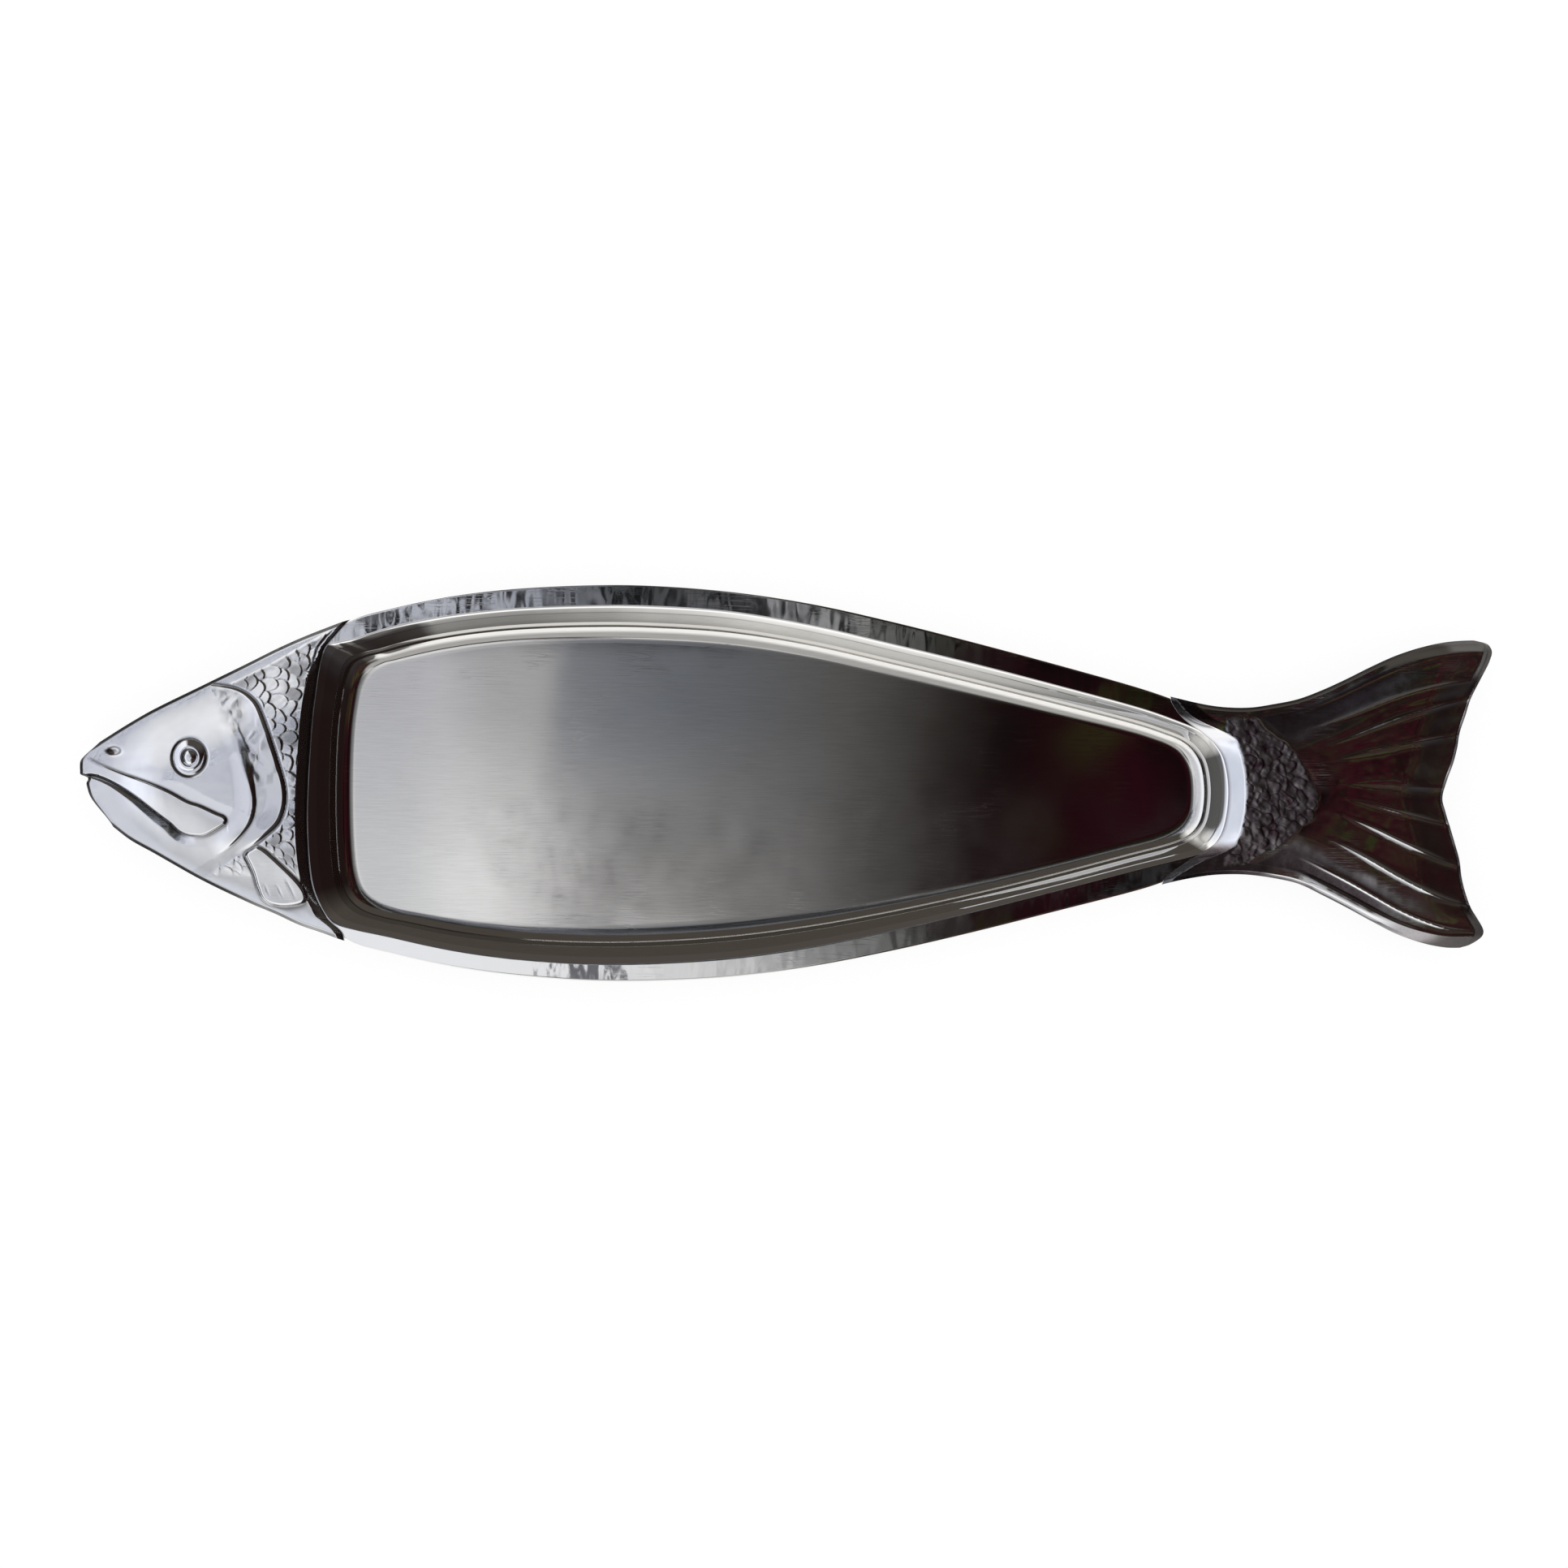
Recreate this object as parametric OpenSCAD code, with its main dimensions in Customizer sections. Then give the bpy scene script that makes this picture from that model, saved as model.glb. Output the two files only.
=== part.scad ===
// Fish shaped serving platter: a drawn sheet tray with a sloped well, and a cast head
// and tail that lap over the tray's end flanges and are screwed on from below.
// Origin at the centre of the table face, +X towards the tail, +Y the back's side, +Z up.

/* [Platter] */
// Overall length, snout to tail tips
length = 700; // [660:1:740]
// Width of the body at its widest
body_w = 197; // [185:1:210]
// Thickness of the tray's sheet
sheet = 1; // [0.7:0.1:1.4]
// Width of the flat rim beside the well
rim_w = 10.2; // [8:0.1:13]
// Depth of the well, rim top to floor
well_depth = 16; // [13:0.5:20]
// Width of the well's wall, seen from above
wall_run = 17; // [14:0.5:21]
// How far the end flanges stay in from the castings' outline
flange_inset = 5; // [3.5:0.5:7]

/* [Head] */
// Snout to the well's edge
head_l = 113; // [106:1:120]
// Height of the head's edge over the rim
head_edge_h = 3.2; // [2.6:0.1:4]
// Further rise of the head to its crown
head_crown_h = 6.5; // [5:0.5:9]
// Distance over which the head rises to its crown
head_crown_run = 34; // [28:1:40]
// Width of the slope from the head down to the well
head_slope_run = 4.6; // [3:0.1:6]
// Height of the gill cover's rear edge
gill_step_h = 1.4; // [0.8:0.1:1.8]
// Depth of the mouth's groove
mouth_depth = 1.3; // [0.8:0.1:1.6]
// Height of the breast fin over the scales
fin_step_h = 1.2; // [0.6:0.1:1.6]
// Outer diameter of the eye
eye_d = 18; // [15:0.5:20]
// Diameter of the pupil's dome
pupil_d = 7.5; // [6.5:0.5:8]
// Height of the eye's ring over the cheek
eye_h = 1; // [0.8:0.1:1.6]
// Radius of the nostril's round hollow
nostril_r = 4; // [3:0.5:5]
// Depth of the nostril
nostril_depth = 1.2; // [0.8:0.1:1.4]

/* [Tail] */
// The well's edge to the tail tips
tail_l = 130; // [124:1:138]
// Height of the tail's edge over the rim
tail_edge_h = 3.4; // [2.8:0.1:4.2]
// Further rise of the tail to its middle
tail_crown_h = 2.4; // [1.8:0.2:3.4]
// Distance over which the tail rises to its middle
tail_crown_run = 22; // [18:1:28]
// Width of the collar's slope down to the well
tail_slope_run = 8; // [6:0.5:9]
// Depth of the tail's flutes
flute_depth = 1.3; // [0.8:0.1:1.7]
// Height of the scaled root over the flutes
root_step_h = 0.9; // [0.5:0.1:1.3]
// Length of the scaled root past the well's edge
root_l = 46; // [40:1:50]
// Width of the scaled root
root_w = 75; // [70:1:80]
// Height of the bead along the tail's outline
bead_h = 0.7; // [0.4:0.1:1]
// Width of the bead along the tail's outline
bead_w = 4; // [3:0.5:5]

/* [Castings] */
// Wall of the castings over their hollow
cast_wall = 2.8; // [2.4:0.1:3]
// Width of the flat land round the hollow
land_w = 4.5; // [4:0.1:5.5]
// Diameter of the screw bosses
boss_d = 9; // [8:0.5:10]

/* [Fasteners] */
// Diameter of the screws
screw_d = 4; // [3:0.5:4.5]
// Length of the screws under the head
screw_l = 6; // [5.5:0.5:6.5]
// Diameter of the screw heads
screw_head_d = 7.5; // [7:0.5:9]
// Height of the screw heads
screw_head_h = 2.4; // [2:0.1:3]
// Width of the hexagon socket in the screw heads
socket_w = 2.5; // [2:0.5:3]
// Depth of the hexagon socket
socket_depth = 1.4; // [1:0.1:1.6]
// Diameter of the washers
washer_d = 9.5; // [9:0.5:11]
// Thickness of the washers
washer_t = 0.8; // [0.5:0.1:1.2]
// Radial clearance of a screw in the flange and the washer
hole_clear = 0.2; // [0.1:0.05:0.4]
// Radial clearance of a screw in its threaded boss
thread_clear = 0.05; // [0.03:0.01:0.1]
// Free depth of a boss hole past the screw's end
hole_spare = 0.5; // [0.3:0.1:0.7]

/* [Hidden] */
$fn = 48;

rim_z = sheet + well_depth;
well_w = body_w - 2 * rim_w;
well_l = length - head_l - tail_l;
well_x = (head_l - tail_l) / 2;
floor_l = well_l - 2 * wall_run;
floor_w = well_w - 2 * wall_run;
head_well_x = head_l - length / 2;
tail_well_x = length / 2 - tail_l;
overrun = 0.5;
foot_h = 0.5;
edge_round = 0.7;
hollow_min_h = 0.5;
flute_fade = 34;
step_run = 1.8;
cos_flank = 0.9;

// Rings of the tray between two chosen points, and grid of the castings
curve_steps = 3;
rows = 52;
files = 56;

// Outline on the back's side: shares of the length from the middle, and of the width
back_shares = [
    [-0.5, 0.06], [-0.491, 0.0765], [-0.4825, 0.0965], [-0.4655, 0.1355], [-0.448, 0.172],
    [-0.414, 0.233], [-0.38, 0.294], [-0.3625, 0.326], [-0.345, 0.355], [-0.328, 0.38],
    [-0.31, 0.404], [-0.27, 0.443], [-0.23, 0.471], [-0.19, 0.488], [-0.15, 0.497],
    [-0.11, 0.5], [-0.07, 0.494], [-0.03, 0.482], [0.02, 0.456], [0.07, 0.419],
    [0.12, 0.377], [0.17, 0.332], [0.22, 0.286], [0.26, 0.2465], [0.28, 0.228],
    [0.3, 0.2135], [0.315, 0.2085], [0.33, 0.2095], [0.345, 0.218], [0.363, 0.232],
    [0.38, 0.2555], [0.397, 0.284], [0.414, 0.315], [0.431, 0.343], [0.448, 0.364],
    [0.466, 0.379], [0.483, 0.3845], [0.5, 0.384]];
// The same on the belly's side
belly_shares = [
    [-0.5, 0.078], [-0.491, 0.095], [-0.48, 0.115], [-0.464, 0.157], [-0.447, 0.19],
    [-0.412, 0.258], [-0.378, 0.314], [-0.36, 0.34], [-0.343, 0.367], [-0.326, 0.387],
    [-0.31, 0.407], [-0.27, 0.443], [-0.23, 0.471], [-0.19, 0.488], [-0.15, 0.498],
    [-0.11, 0.5], [-0.07, 0.494], [-0.03, 0.483], [0.02, 0.457], [0.07, 0.421],
    [0.12, 0.379], [0.17, 0.333], [0.22, 0.285], [0.26, 0.247], [0.28, 0.2285],
    [0.3, 0.2155], [0.315, 0.2115], [0.33, 0.2125], [0.348, 0.2205], [0.365, 0.234],
    [0.382, 0.262], [0.4, 0.294], [0.417, 0.326], [0.434, 0.356], [0.452, 0.378],
    [0.469, 0.3895], [0.483, 0.3895], [0.5, 0.387]];
// Front of the snout: share across from belly to back, share of head_l in from the tip
snout_shares = [
    [0, 0.15], [0.1, 0.097], [0.2, 0.061], [0.28, 0.044], [0.38, 0.034], [0.46, 0.03],
    [0.52, 0.037], [0.55, 0.033], [0.6, 0.005], [0.68, 0.001], [0.77, 0], [0.86, 0.004],
    [0.92, 0.022], [0.97, 0.052], [1, 0.085]];
// Head's end at the well: share across, share of head_l past the edge of the well
head_end_shares = [
    [0, 0.17], [0.025, 0.16], [0.05, 0.105], [0.08, 0.07], [0.14, 0.033], [0.23, 0.013],
    [0.37, 0.002], [0.53, 0.006], [0.7, 0.018], [0.82, 0.036], [0.9, 0.054], [0.94, 0.078],
    [0.97, 0.125], [1, 0.178]];
// Tail's end at the well: share across, share of tail_l past the edge of the well
tail_end_shares = [
    [0, 0.25], [0.03, 0.235], [0.09, 0.162], [0.14, 0.094], [0.195, 0.044], [0.31, 0.012],
    [0.5, 0], [0.68, 0.018], [0.775, 0.054], [0.835, 0.106], [0.9, 0.178], [0.965, 0.218],
    [1, 0.225]];
// Rear edge of the tail: share across, share of tail_l in from the tips
fork_shares = [
    [0, 0.11], [0.008, 0.075], [0.03, 0.0315], [0.046, 0.02], [0.062, 0.0225], [0.093, 0.043],
    [0.13, 0.07], [0.18, 0.092], [0.23, 0.107], [0.285, 0.116], [0.34, 0.134],
    [0.39, 0.152], [0.445, 0.172], [0.49, 0.184], [0.55, 0.166], [0.6, 0.145],
    [0.65, 0.13], [0.7, 0.121], [0.755, 0.1], [0.81, 0.08], [0.87, 0.045], [0.915, 0.018],
    [0.94, 0.006], [0.962, 0], [0.978, 0.006], [0.992, 0.025], [1, 0.07]];

// Edge of the well from the middle of the head's end over the back: shares of well_l, well_w
well_edge_shares = [
    [-0.4985, 0.023], [-0.496, 0.16], [-0.491, 0.263], [-0.487, 0.332], [-0.481, 0.373],
    [-0.468, 0.384], [-0.4485, 0.396], [-0.4135, 0.4255], [-0.37, 0.452], [-0.326, 0.47],
    [-0.2725, 0.4845], [-0.202, 0.494], [-0.1315, 0.4955], [-0.043, 0.4825], [0.045, 0.447],
    [0.1335, 0.397], [0.222, 0.3445], [0.3105, 0.288], [0.399, 0.229], [0.443, 0.1915],
    [0.47, 0.1625], [0.485, 0.129], [0.495, 0.0815], [0.5, -0.003], [0.4965, -0.092],
    [0.488, -0.145], [0.474, -0.1725], [0.4495, -0.193], [0.401, -0.2255], [0.313, -0.2875],
    [0.225, -0.3475], [0.137, -0.4035], [0.049, -0.4525], [-0.039, -0.487],
    [-0.127, -0.504], [-0.1975, -0.5065], [-0.268, -0.497], [-0.322, -0.4815],
    [-0.366, -0.462], [-0.4095, -0.438], [-0.4445, -0.42], [-0.467, -0.4025],
    [-0.482, -0.3665], [-0.492, -0.3075], [-0.4965, -0.2275], [-0.499, -0.1135]];
// Edge of the floor, point for point: shares of floor_l, floor_w
floor_edge_shares = [
    [-0.487, 0.031], [-0.486, 0.16], [-0.483, 0.2465], [-0.4785, 0.3095], [-0.468, 0.3645],
    [-0.451, 0.3995], [-0.432, 0.416], [-0.408, 0.4325], [-0.3815, 0.449], [-0.343, 0.468],
    [-0.2905, 0.484], [-0.2185, 0.4935], [-0.142, 0.4935], [-0.0465, 0.479], [0.0495, 0.439],
    [0.1455, 0.3785], [0.2415, 0.315], [0.3375, 0.2505], [0.419, 0.195], [0.4525, 0.168],
    [0.474, 0.143], [0.4875, 0.106], [0.4945, 0.0575], [0.4965, -0.0055], [0.495, -0.0655],
    [0.488, -0.103], [0.476, -0.1325], [0.456, -0.159], [0.4205, -0.189], [0.3395, -0.2555],
    [0.244, -0.326], [0.1485, -0.386], [0.053, -0.435], [-0.0425, -0.4725],
    [-0.138, -0.495], [-0.215, -0.501], [-0.2865, -0.4975], [-0.3395, -0.486],
    [-0.3775, -0.4725], [-0.4065, -0.459], [-0.433, -0.444], [-0.4565, -0.4175],
    [-0.473, -0.3755], [-0.4805, -0.3125], [-0.484, -0.2265], [-0.486, -0.112]];
// End flanges: share of head_l or tail_l out from the well's edge, share of the width there
head_flange_shares = [
    [0.451, 0], [0.425, 0.5], [0.327, 0.82], [0.168, 1], [0.009, 1], [-0.115, 1.03]];
tail_flange_shares = [
    [-0.185, 1.09], [-0.077, 1.02], [0.06, 1], [0.185, 0.75], [0.246, 0],
    [0.185, -0.75], [0.06, -1], [-0.077, -1.02], [-0.215, -1.09]];
// Wall of the well, rim to floor: share of its width, share of its depth
wall_shares = [
    [0, 0], [0.224, 0.189], [0.435, 0.395], [0.553, 0.898], [0.642, 0.948], [0.75, 0.982],
    [0.87, 0.996], [1, 1]];

// Relief of the head: share of head_l from the snout, share of body_w from the middle
gill_shares = [
    [0.576, 0.237], [0.641, 0.233], [0.698, 0.225], [0.748, 0.209], [0.791, 0.181],
    [0.839, 0.116], [0.883, 0.041], [0.913, -0.019], [0.914, -0.066], [0.887, -0.111],
    [0.83, -0.144], [0.774, -0.169], [0.713, -0.192]];
cheek_shares = [
    [0.702, 0.213], [0.645, 0.186], [0.635, 0.16], [0.664, 0.133], [0.714, 0.105],
    [0.747, 0.07], [0.768, 0.015], [0.778, -0.04], [0.779, -0.073], [0.762, -0.11],
    [0.72, -0.143], [0.663, -0.174], [0.596, -0.199]];
mouth_shares = [
    [0.021, 0.004], [0.078, -0.002], [0.153, -0.023], [0.25, -0.059], [0.344, -0.1],
    [0.402, -0.124], [0.445, -0.144], [0.495, -0.151], [0.556, -0.149], [0.612, -0.13],
    [0.651, -0.104]];
fin_shares = [
    [0.731, -0.192], [0.752, -0.179], [0.806, -0.171], [0.899, -0.215], [0.982, -0.264],
    [1.008, -0.298], [0.976, -0.317], [0.884, -0.322], [0.816, -0.308], [0.787, -0.275],
    [0.764, -0.232], [0.731, -0.192]];
eye_share = [0.491, 0.052];
// Eye's ring and pupil: share of their own radius, share of eye_h
ring_shares = [[1, 0.1], [0.66, 0.95], [0.53, 1], [0.46, 0.35]];
pupil_shares = [[1, 0.15], [0.87, 0.5], [0.63, 1.05], [0.34, 1.38], [0, 1.45]];
nostril_share = [0.152, 0.066];
cheek_step_share = 0.5;

// Ridges between the tail's flutes: share across where the root ends, and at the rear edge
ridge_shares = [
    [0.06, 0.015], [0.135, 0.045], [0.29, 0.135], [0.43, 0.265], [0.495, 0.4],
    [0.545, 0.52], [0.645, 0.693], [0.715, 0.81], [0.82, 0.87], [0.93, 0.965]];
// Share along the tail where the ridges begin to fan out
fan_share = 0.4;

// Screws: share of head_l or tail_l out from the well's edge, share of body_w
head_screw_shares = [[0.16, 0.2], [0.36, 0], [0.16, -0.2]];
tail_screw_shares = [[0.125, 0.1], [0.125, -0.1]];

function lerp(a, b, t) = a + (b - a) * t;
function clamp(t) = max(0, min(1, t));
function ease(t) = let (c = clamp(t)) c * c * (3 - 2 * c);
function crown(t) = 1 - pow(1 - clamp(t), 2);
function scaled(shares, x, y) = [for (p = shares) [p[0] * x, p[1] * y]];

// Smooth closed curve through chosen points, n steps from each to the next
function bend(a, b, c, d, t) =
    0.5 * (2 * b + (c - a) * t + (2 * a - 5 * b + 4 * c - d) * pow(t, 2)
        + (3 * b - a - 3 * c + d) * pow(t, 3));
function closed_curve(p, n) = let (k = len(p))
    [for (i = [0:k - 1]) for (j = [0:n - 1])
        bend(p[(i + k - 1) % k], p[i], p[(i + 1) % k], p[(i + 2) % k], j / n)];

// Height at x of a smooth curve through points of rising x
function span_of(p, x, i = 0) = i >= len(p) - 2 || x < p[i + 1][0] ? i : span_of(p, x, i + 1);
function slope_at(p, i) = let (a = max(i - 1, 0), b = min(i + 1, len(p) - 1))
    (p[b][1] - p[a][1]) / (p[b][0] - p[a][0]);
function curve_at(p, x) = let (
        i = span_of(p, x),
        w = p[i + 1][0] - p[i][0],
        t = (x - p[i][0]) / w,
        u = 1 - t)
    p[i][1] * u * u * (1 + 2 * t) + p[i + 1][1] * t * t * (1 + 2 * u)
        + slope_at(p, i) * w * t * u * u - slope_at(p, i + 1) * w * t * t * u;

back = scaled(back_shares, length, body_w);
belly = scaled(belly_shares, length, -body_w);
snout = scaled(snout_shares, 1, head_l);
head_end = scaled(head_end_shares, 1, head_l);
tail_end = scaled(tail_end_shares, 1, tail_l);
fork = scaled(fork_shares, 1, tail_l);

function back_y(x) = curve_at(back, x);
function belly_y(x) = curve_at(belly, x);
function side_y(x, share) = share < 0 ? -share * (belly_y(x) + flange_inset)
    : share * (back_y(x) - flange_inset);
function share_across(x, y) = (y - belly_y(x)) / (back_y(x) - belly_y(x));

// Faces between two rings of n points, clockwise seen from outside, and a ring's closing fan
function band(a, b, n) = [for (i = [0:n - 1]) let (k = (i + 1) % n)
    each [[b[i], b[k], a[k]], [b[i], a[k], a[i]]]];
function fan(a, tip, n) = [for (i = [0:n - 1]) let (k = (i + 1) % n) [a[i], a[k], tip]];
function turned(faces) = [for (f = faces) [f[2], f[1], f[0]]];
function ids(start, n) = [for (i = [0:n - 1]) start + i];

// Places of the screws
head_screws = [for (p = head_screw_shares) [head_well_x - p[0] * head_l, p[1] * body_w]];
tail_screws = [for (p = tail_screw_shares) [tail_well_x + p[0] * tail_l, p[1] * body_w]];

// Outer edge of the tray, point for point with the edge of the well
well_edge = [for (p = well_edge_shares) [well_x + p[0] * well_l, p[1] * well_w]];
floor_edge = [for (p = floor_edge_shares) [well_x + p[0] * floor_l, p[1] * floor_w]];
first_rim = len(head_flange_shares);
first_tail = 19;
last_tail = first_tail + len(tail_flange_shares) - 1;
last_rim = len(well_edge) - first_rim;
function head_flange(i, side) = let (
        p = head_flange_shares[i],
        x = head_well_x - p[0] * head_l)
    [x, side_y(x, side * p[1])];
function tail_flange(i) = let (
        p = tail_flange_shares[i],
        x = tail_well_x + p[0] * tail_l)
    [x, side_y(x, p[1])];
tray_edge = [for (i = [0:len(well_edge) - 1]) let (x = well_edge[i][0])
    i < first_rim ? head_flange(i, 1)
    : i < first_tail ? [x, back_y(x)]
    : i <= last_tail ? tail_flange(i - first_tail)
    : i <= last_rim ? [x, belly_y(x)]
    : head_flange(len(well_edge) - i, -1)];

// Wall's section: way in from the rim and height, on its top face and under the sheet
wall_top = [for (p = wall_shares) [p[0] * wall_run, rim_z - p[1] * well_depth]];
function way(a, b) = (b - a) / norm(b - a);
function wall_way(i) = let (
        before = i == 0 ? [1, 0] : way(wall_top[i - 1], wall_top[i]),
        after = i == len(wall_top) - 1 ? [1, 0] : way(wall_top[i], wall_top[i + 1]))
    way([0, 0], before + after);
wall_under = [for (i = [0:len(wall_top) - 1]) let (w = wall_way(i))
    wall_top[i] + sheet * [w[1], -w[0]]];

module tray_sheet() {
    rim = closed_curve(tray_edge, curve_steps);
    edge = closed_curve(well_edge, curve_steps);
    bottom = closed_curve(floor_edge, curve_steps);
    n = len(rim);
    last = len(wall_top) - 1;
    top_rings = [for (i = [last:-1:0]) let (q = wall_top[i], t = q[0] / wall_run)
        [for (k = [0:n - 1]) [each lerp(edge[k], bottom[k], t), q[1]]]];
    under_rings = [for (q = wall_under) let (t = q[0] / wall_run)
        [for (k = [0:n - 1]) [each lerp(edge[k], bottom[k], t), q[1]]]];
    rings = concat(
        top_rings,
        [[for (p = rim) [each p, rim_z]], [for (p = rim) [each p, rim_z - sheet]]],
        under_rings);
    top_tip = n * len(rings);
    under_tip = top_tip + 1;
    faces = concat(
        fan(ids(0, n), top_tip, n),
        [for (r = [0:len(rings) - 2]) each band(ids(r * n, n), ids((r + 1) * n, n), n)],
        turned(fan(ids((len(rings) - 1) * n, n), under_tip, n)));
    polyhedron(concat([for (r = rings) each r], [[well_x, 0, sheet], [well_x, 0, 0]]), faces);
}

module tray() {
    color([0.72, 0.73, 0.74])
    difference() {
        tray_sheet();
        for (p = concat(head_screws, tail_screws))
            translate([p[0], p[1], rim_z - sheet - overrun])
            cylinder(h = sheet + 2 * overrun, r = screw_d / 2 + hole_clear);
    }
}

// Distance from a point to the nearest part of a line of points, less than zero on its right
function reach(p, a, b) = let (
        ab = b - a,
        ap = p - a,
        t = clamp((ap * ab) / (ab * ab)))
    [norm(ap - ab * t), ab[0] * ap[1] - ab[1] * ap[0]];
function nearest(p, line, i = 0, best = [1e6, 0]) = i >= len(line) - 1 ? best
    : let (r = reach(p, line[i], line[i + 1]))
        nearest(p, line, i + 1, r[0] < best[0] ? r : best);
function signed(p, line) = let (r = nearest(p, line)) r[1] < 0 ? -r[0] : r[0];
function groove(d, w) = exp(-pow(d / w, 2));

// Where a casting starts at the well and stops at its far edge, by share across
function head_start(v) = head_well_x + curve_at(head_end, v);
function head_stop(v) = max(0, curve_at(snout, v)) - length / 2;
function tail_start(v) = tail_well_x - curve_at(tail_end, v);
function tail_stop(v) = length / 2 - max(0, curve_at(fork, v));

// Dome of a casting over the rim: low at its edges, with a slope down to the well at its start
function dome(x, v, start, stop, lean, edge_h, crown_h, run, slope_run) = let (
        w = (back_y(x) - belly_y(x)) * cos_flank,
        tip = abs(x - stop),
        rise = crown(w * v / run) * crown(w * (1 - v) / run) * crown(tip / run),
        edge = min(w * v, w * (1 - v), tip),
        body = edge_h + crown_h * rise - edge_round * pow(1 - clamp(edge / edge_round), 2))
    lerp(foot_h, body, ease(abs(x - start) * lean / slope_run));

// Share by which a start line's slant shortens the way across it
slant_step = 0.02;
function lean(v, ends, x) = let (
        a = clamp(v - slant_step),
        b = clamp(v + slant_step),
        slant = (curve_at(ends, b) - curve_at(ends, a)) / ((b - a) * (back_y(x) - belly_y(x))))
    1 / sqrt(1 + slant * slant);

function head_dome(x, v) = dome(x, v, head_start(v), head_stop(v), lean(v, head_end, x),
    head_edge_h, head_crown_h, head_crown_run, head_slope_run);
function tail_dome(x, v) = dome(x, v, tail_start(v), tail_stop(v), lean(v, tail_end, x),
    tail_edge_h, tail_crown_h, tail_crown_run, tail_slope_run);

function on_head(shares) = [for (p = shares) [p[0] * head_l - length / 2, p[1] * body_w]];
gill_line = on_head(gill_shares);
cheek_line = on_head(cheek_shares);
mouth_line = on_head(mouth_shares);
fin_line = on_head(fin_shares);
eye_at = on_head([eye_share])[0];
nostril_at = on_head([nostril_share])[0];
relief_run = 22;
lip_run = 9;
groove_w = 1.7;

// Relief on the head: gill cover, cheek, mouth and breast fin
function head_relief(p) = let (
        gill = signed(p, gill_line),
        cheek = signed(p, cheek_line),
        mouth = signed(p, mouth_line),
        fin = signed(p, fin_line))
    gill_step_h * ease(-gill / step_run) * exp(-abs(gill) / relief_run)
    + cheek_step_share * gill_step_h * ease(-cheek / step_run) * exp(-abs(cheek) / lip_run)
    + mouth_depth / 2 * ease(mouth / step_run) * exp(-abs(mouth) / lip_run)
    - mouth_depth * groove(mouth, groove_w)
    + fin_step_h * ease(-fin / step_run);

// Share of the flutes' depth at a share across, with the ridges fanned out by that turn
function ridge_v(i, turn) = lerp(ridge_shares[i][0], ridge_shares[i][1], turn);
function flute(v, turn, i = 0) = i > len(ridge_shares) - 2 ? 0
    : let (
        a = ridge_v(i, turn),
        b = ridge_v(i + 1, turn),
        across = 2 * (v - a) / (b - a) - 1)
    abs(across) < 1 ? 1 - across * across : flute(v, turn, i + 1);

// Relief on the tail: scaled root, flutes that deepen to the rear edge, bead along the outline
function tail_relief(x, y, s, v) = let (
        root_x = tail_well_x + root_l * (1 - pow(2 * y / root_w, 2)),
        grown = ease((x - root_x) / flute_fade),
        turn = clamp((s - fan_share) / (1 - fan_share)),
        side = (back_y(x) - belly_y(x)) * cos_flank * min(v, 1 - v))
    root_step_h * ease((root_x - x) / step_run)
    - flute_depth * grown * flute(v, turn) * clamp(side / bead_w - 1)
    + bead_h * grown * (1 - ease(abs(side / bead_w - 0.5)));

// A casting from its start and stop lines: grid on top, flat land below, hollow inside
module casting(points, under, land, roof, vault, peak, clockwise) {
    n = len(under);
    grid = len(points);
    edge_ids = concat(
        [for (i = [0:files - 1]) i],
        [for (j = [0:rows - 1]) j * (files + 1) + files],
        [for (i = [files:-1:1]) rows * (files + 1) + i],
        [for (j = [rows:-1:1]) j * (files + 1)]);
    top = [for (j = [0:rows - 1]) for (i = [0:files - 1]) let (a = j * (files + 1) + i)
        each [[a, a + 1, a + files + 2], [a, a + files + 2, a + files + 1]]];
    rings = [edge_ids, for (r = [0:3]) ids(grid + r * n, n)];
    lower = [for (r = [0:3]) each band(rings[r], rings[r + 1], n)];
    faces = concat(top, lower, turned(fan(rings[4], grid + 4 * n, n)));
    polyhedron(
        concat(points, under, land, roof, vault, [peak]),
        clockwise ? faces : turned(faces));
}

// Walk round a casting's edge in shares along and across it
walk = concat(
    [for (i = [0:files - 1]) [0, i / files]],
    [for (j = [0:rows - 1]) [j / rows, 1]],
    [for (i = [files:-1:1]) [1, i / files]],
    [for (j = [rows:-1:1]) [j / rows, 0]]);
function spot(s, v, start, stop) = let (x = lerp(start, stop, s))
    [x, lerp(belly_y(x), back_y(x), v)];
function hollow_v(x, v) = let (in = land_w / ((back_y(x) - belly_y(x)) * cos_flank))
    lerp(in, 1 - in, v);
function hollow_s(s, start, stop, slope_run) = let (l = abs(stop - start))
    lerp((slope_run + land_w) / l, 1 - 2 * land_w / l, s);

module head_shell() {
    points = [for (j = [0:rows]) for (i = [0:files]) let (
            v = i / files,
            p = spot(j / rows, v, head_start(v), head_stop(v)))
        [each p, rim_z + head_dome(p[0], v) + head_relief(p) * head_fade(p[0], v)]];
    under = [for (q = walk) [each spot(q[0], q[1], head_start(q[1]), head_stop(q[1])), rim_z]];
    inner = [for (q = walk) head_hollow(q[0], q[1])];
    land = [for (p = inner) [p[0], p[1], rim_z]];
    vault = [for (q = walk) head_hollow(lerp(q[0], 0.5, 0.5), lerp(q[1], 0.5, 0.5))];
    casting(points, under, land, inner, vault, head_hollow(0.5, 0.5), false);
}
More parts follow.
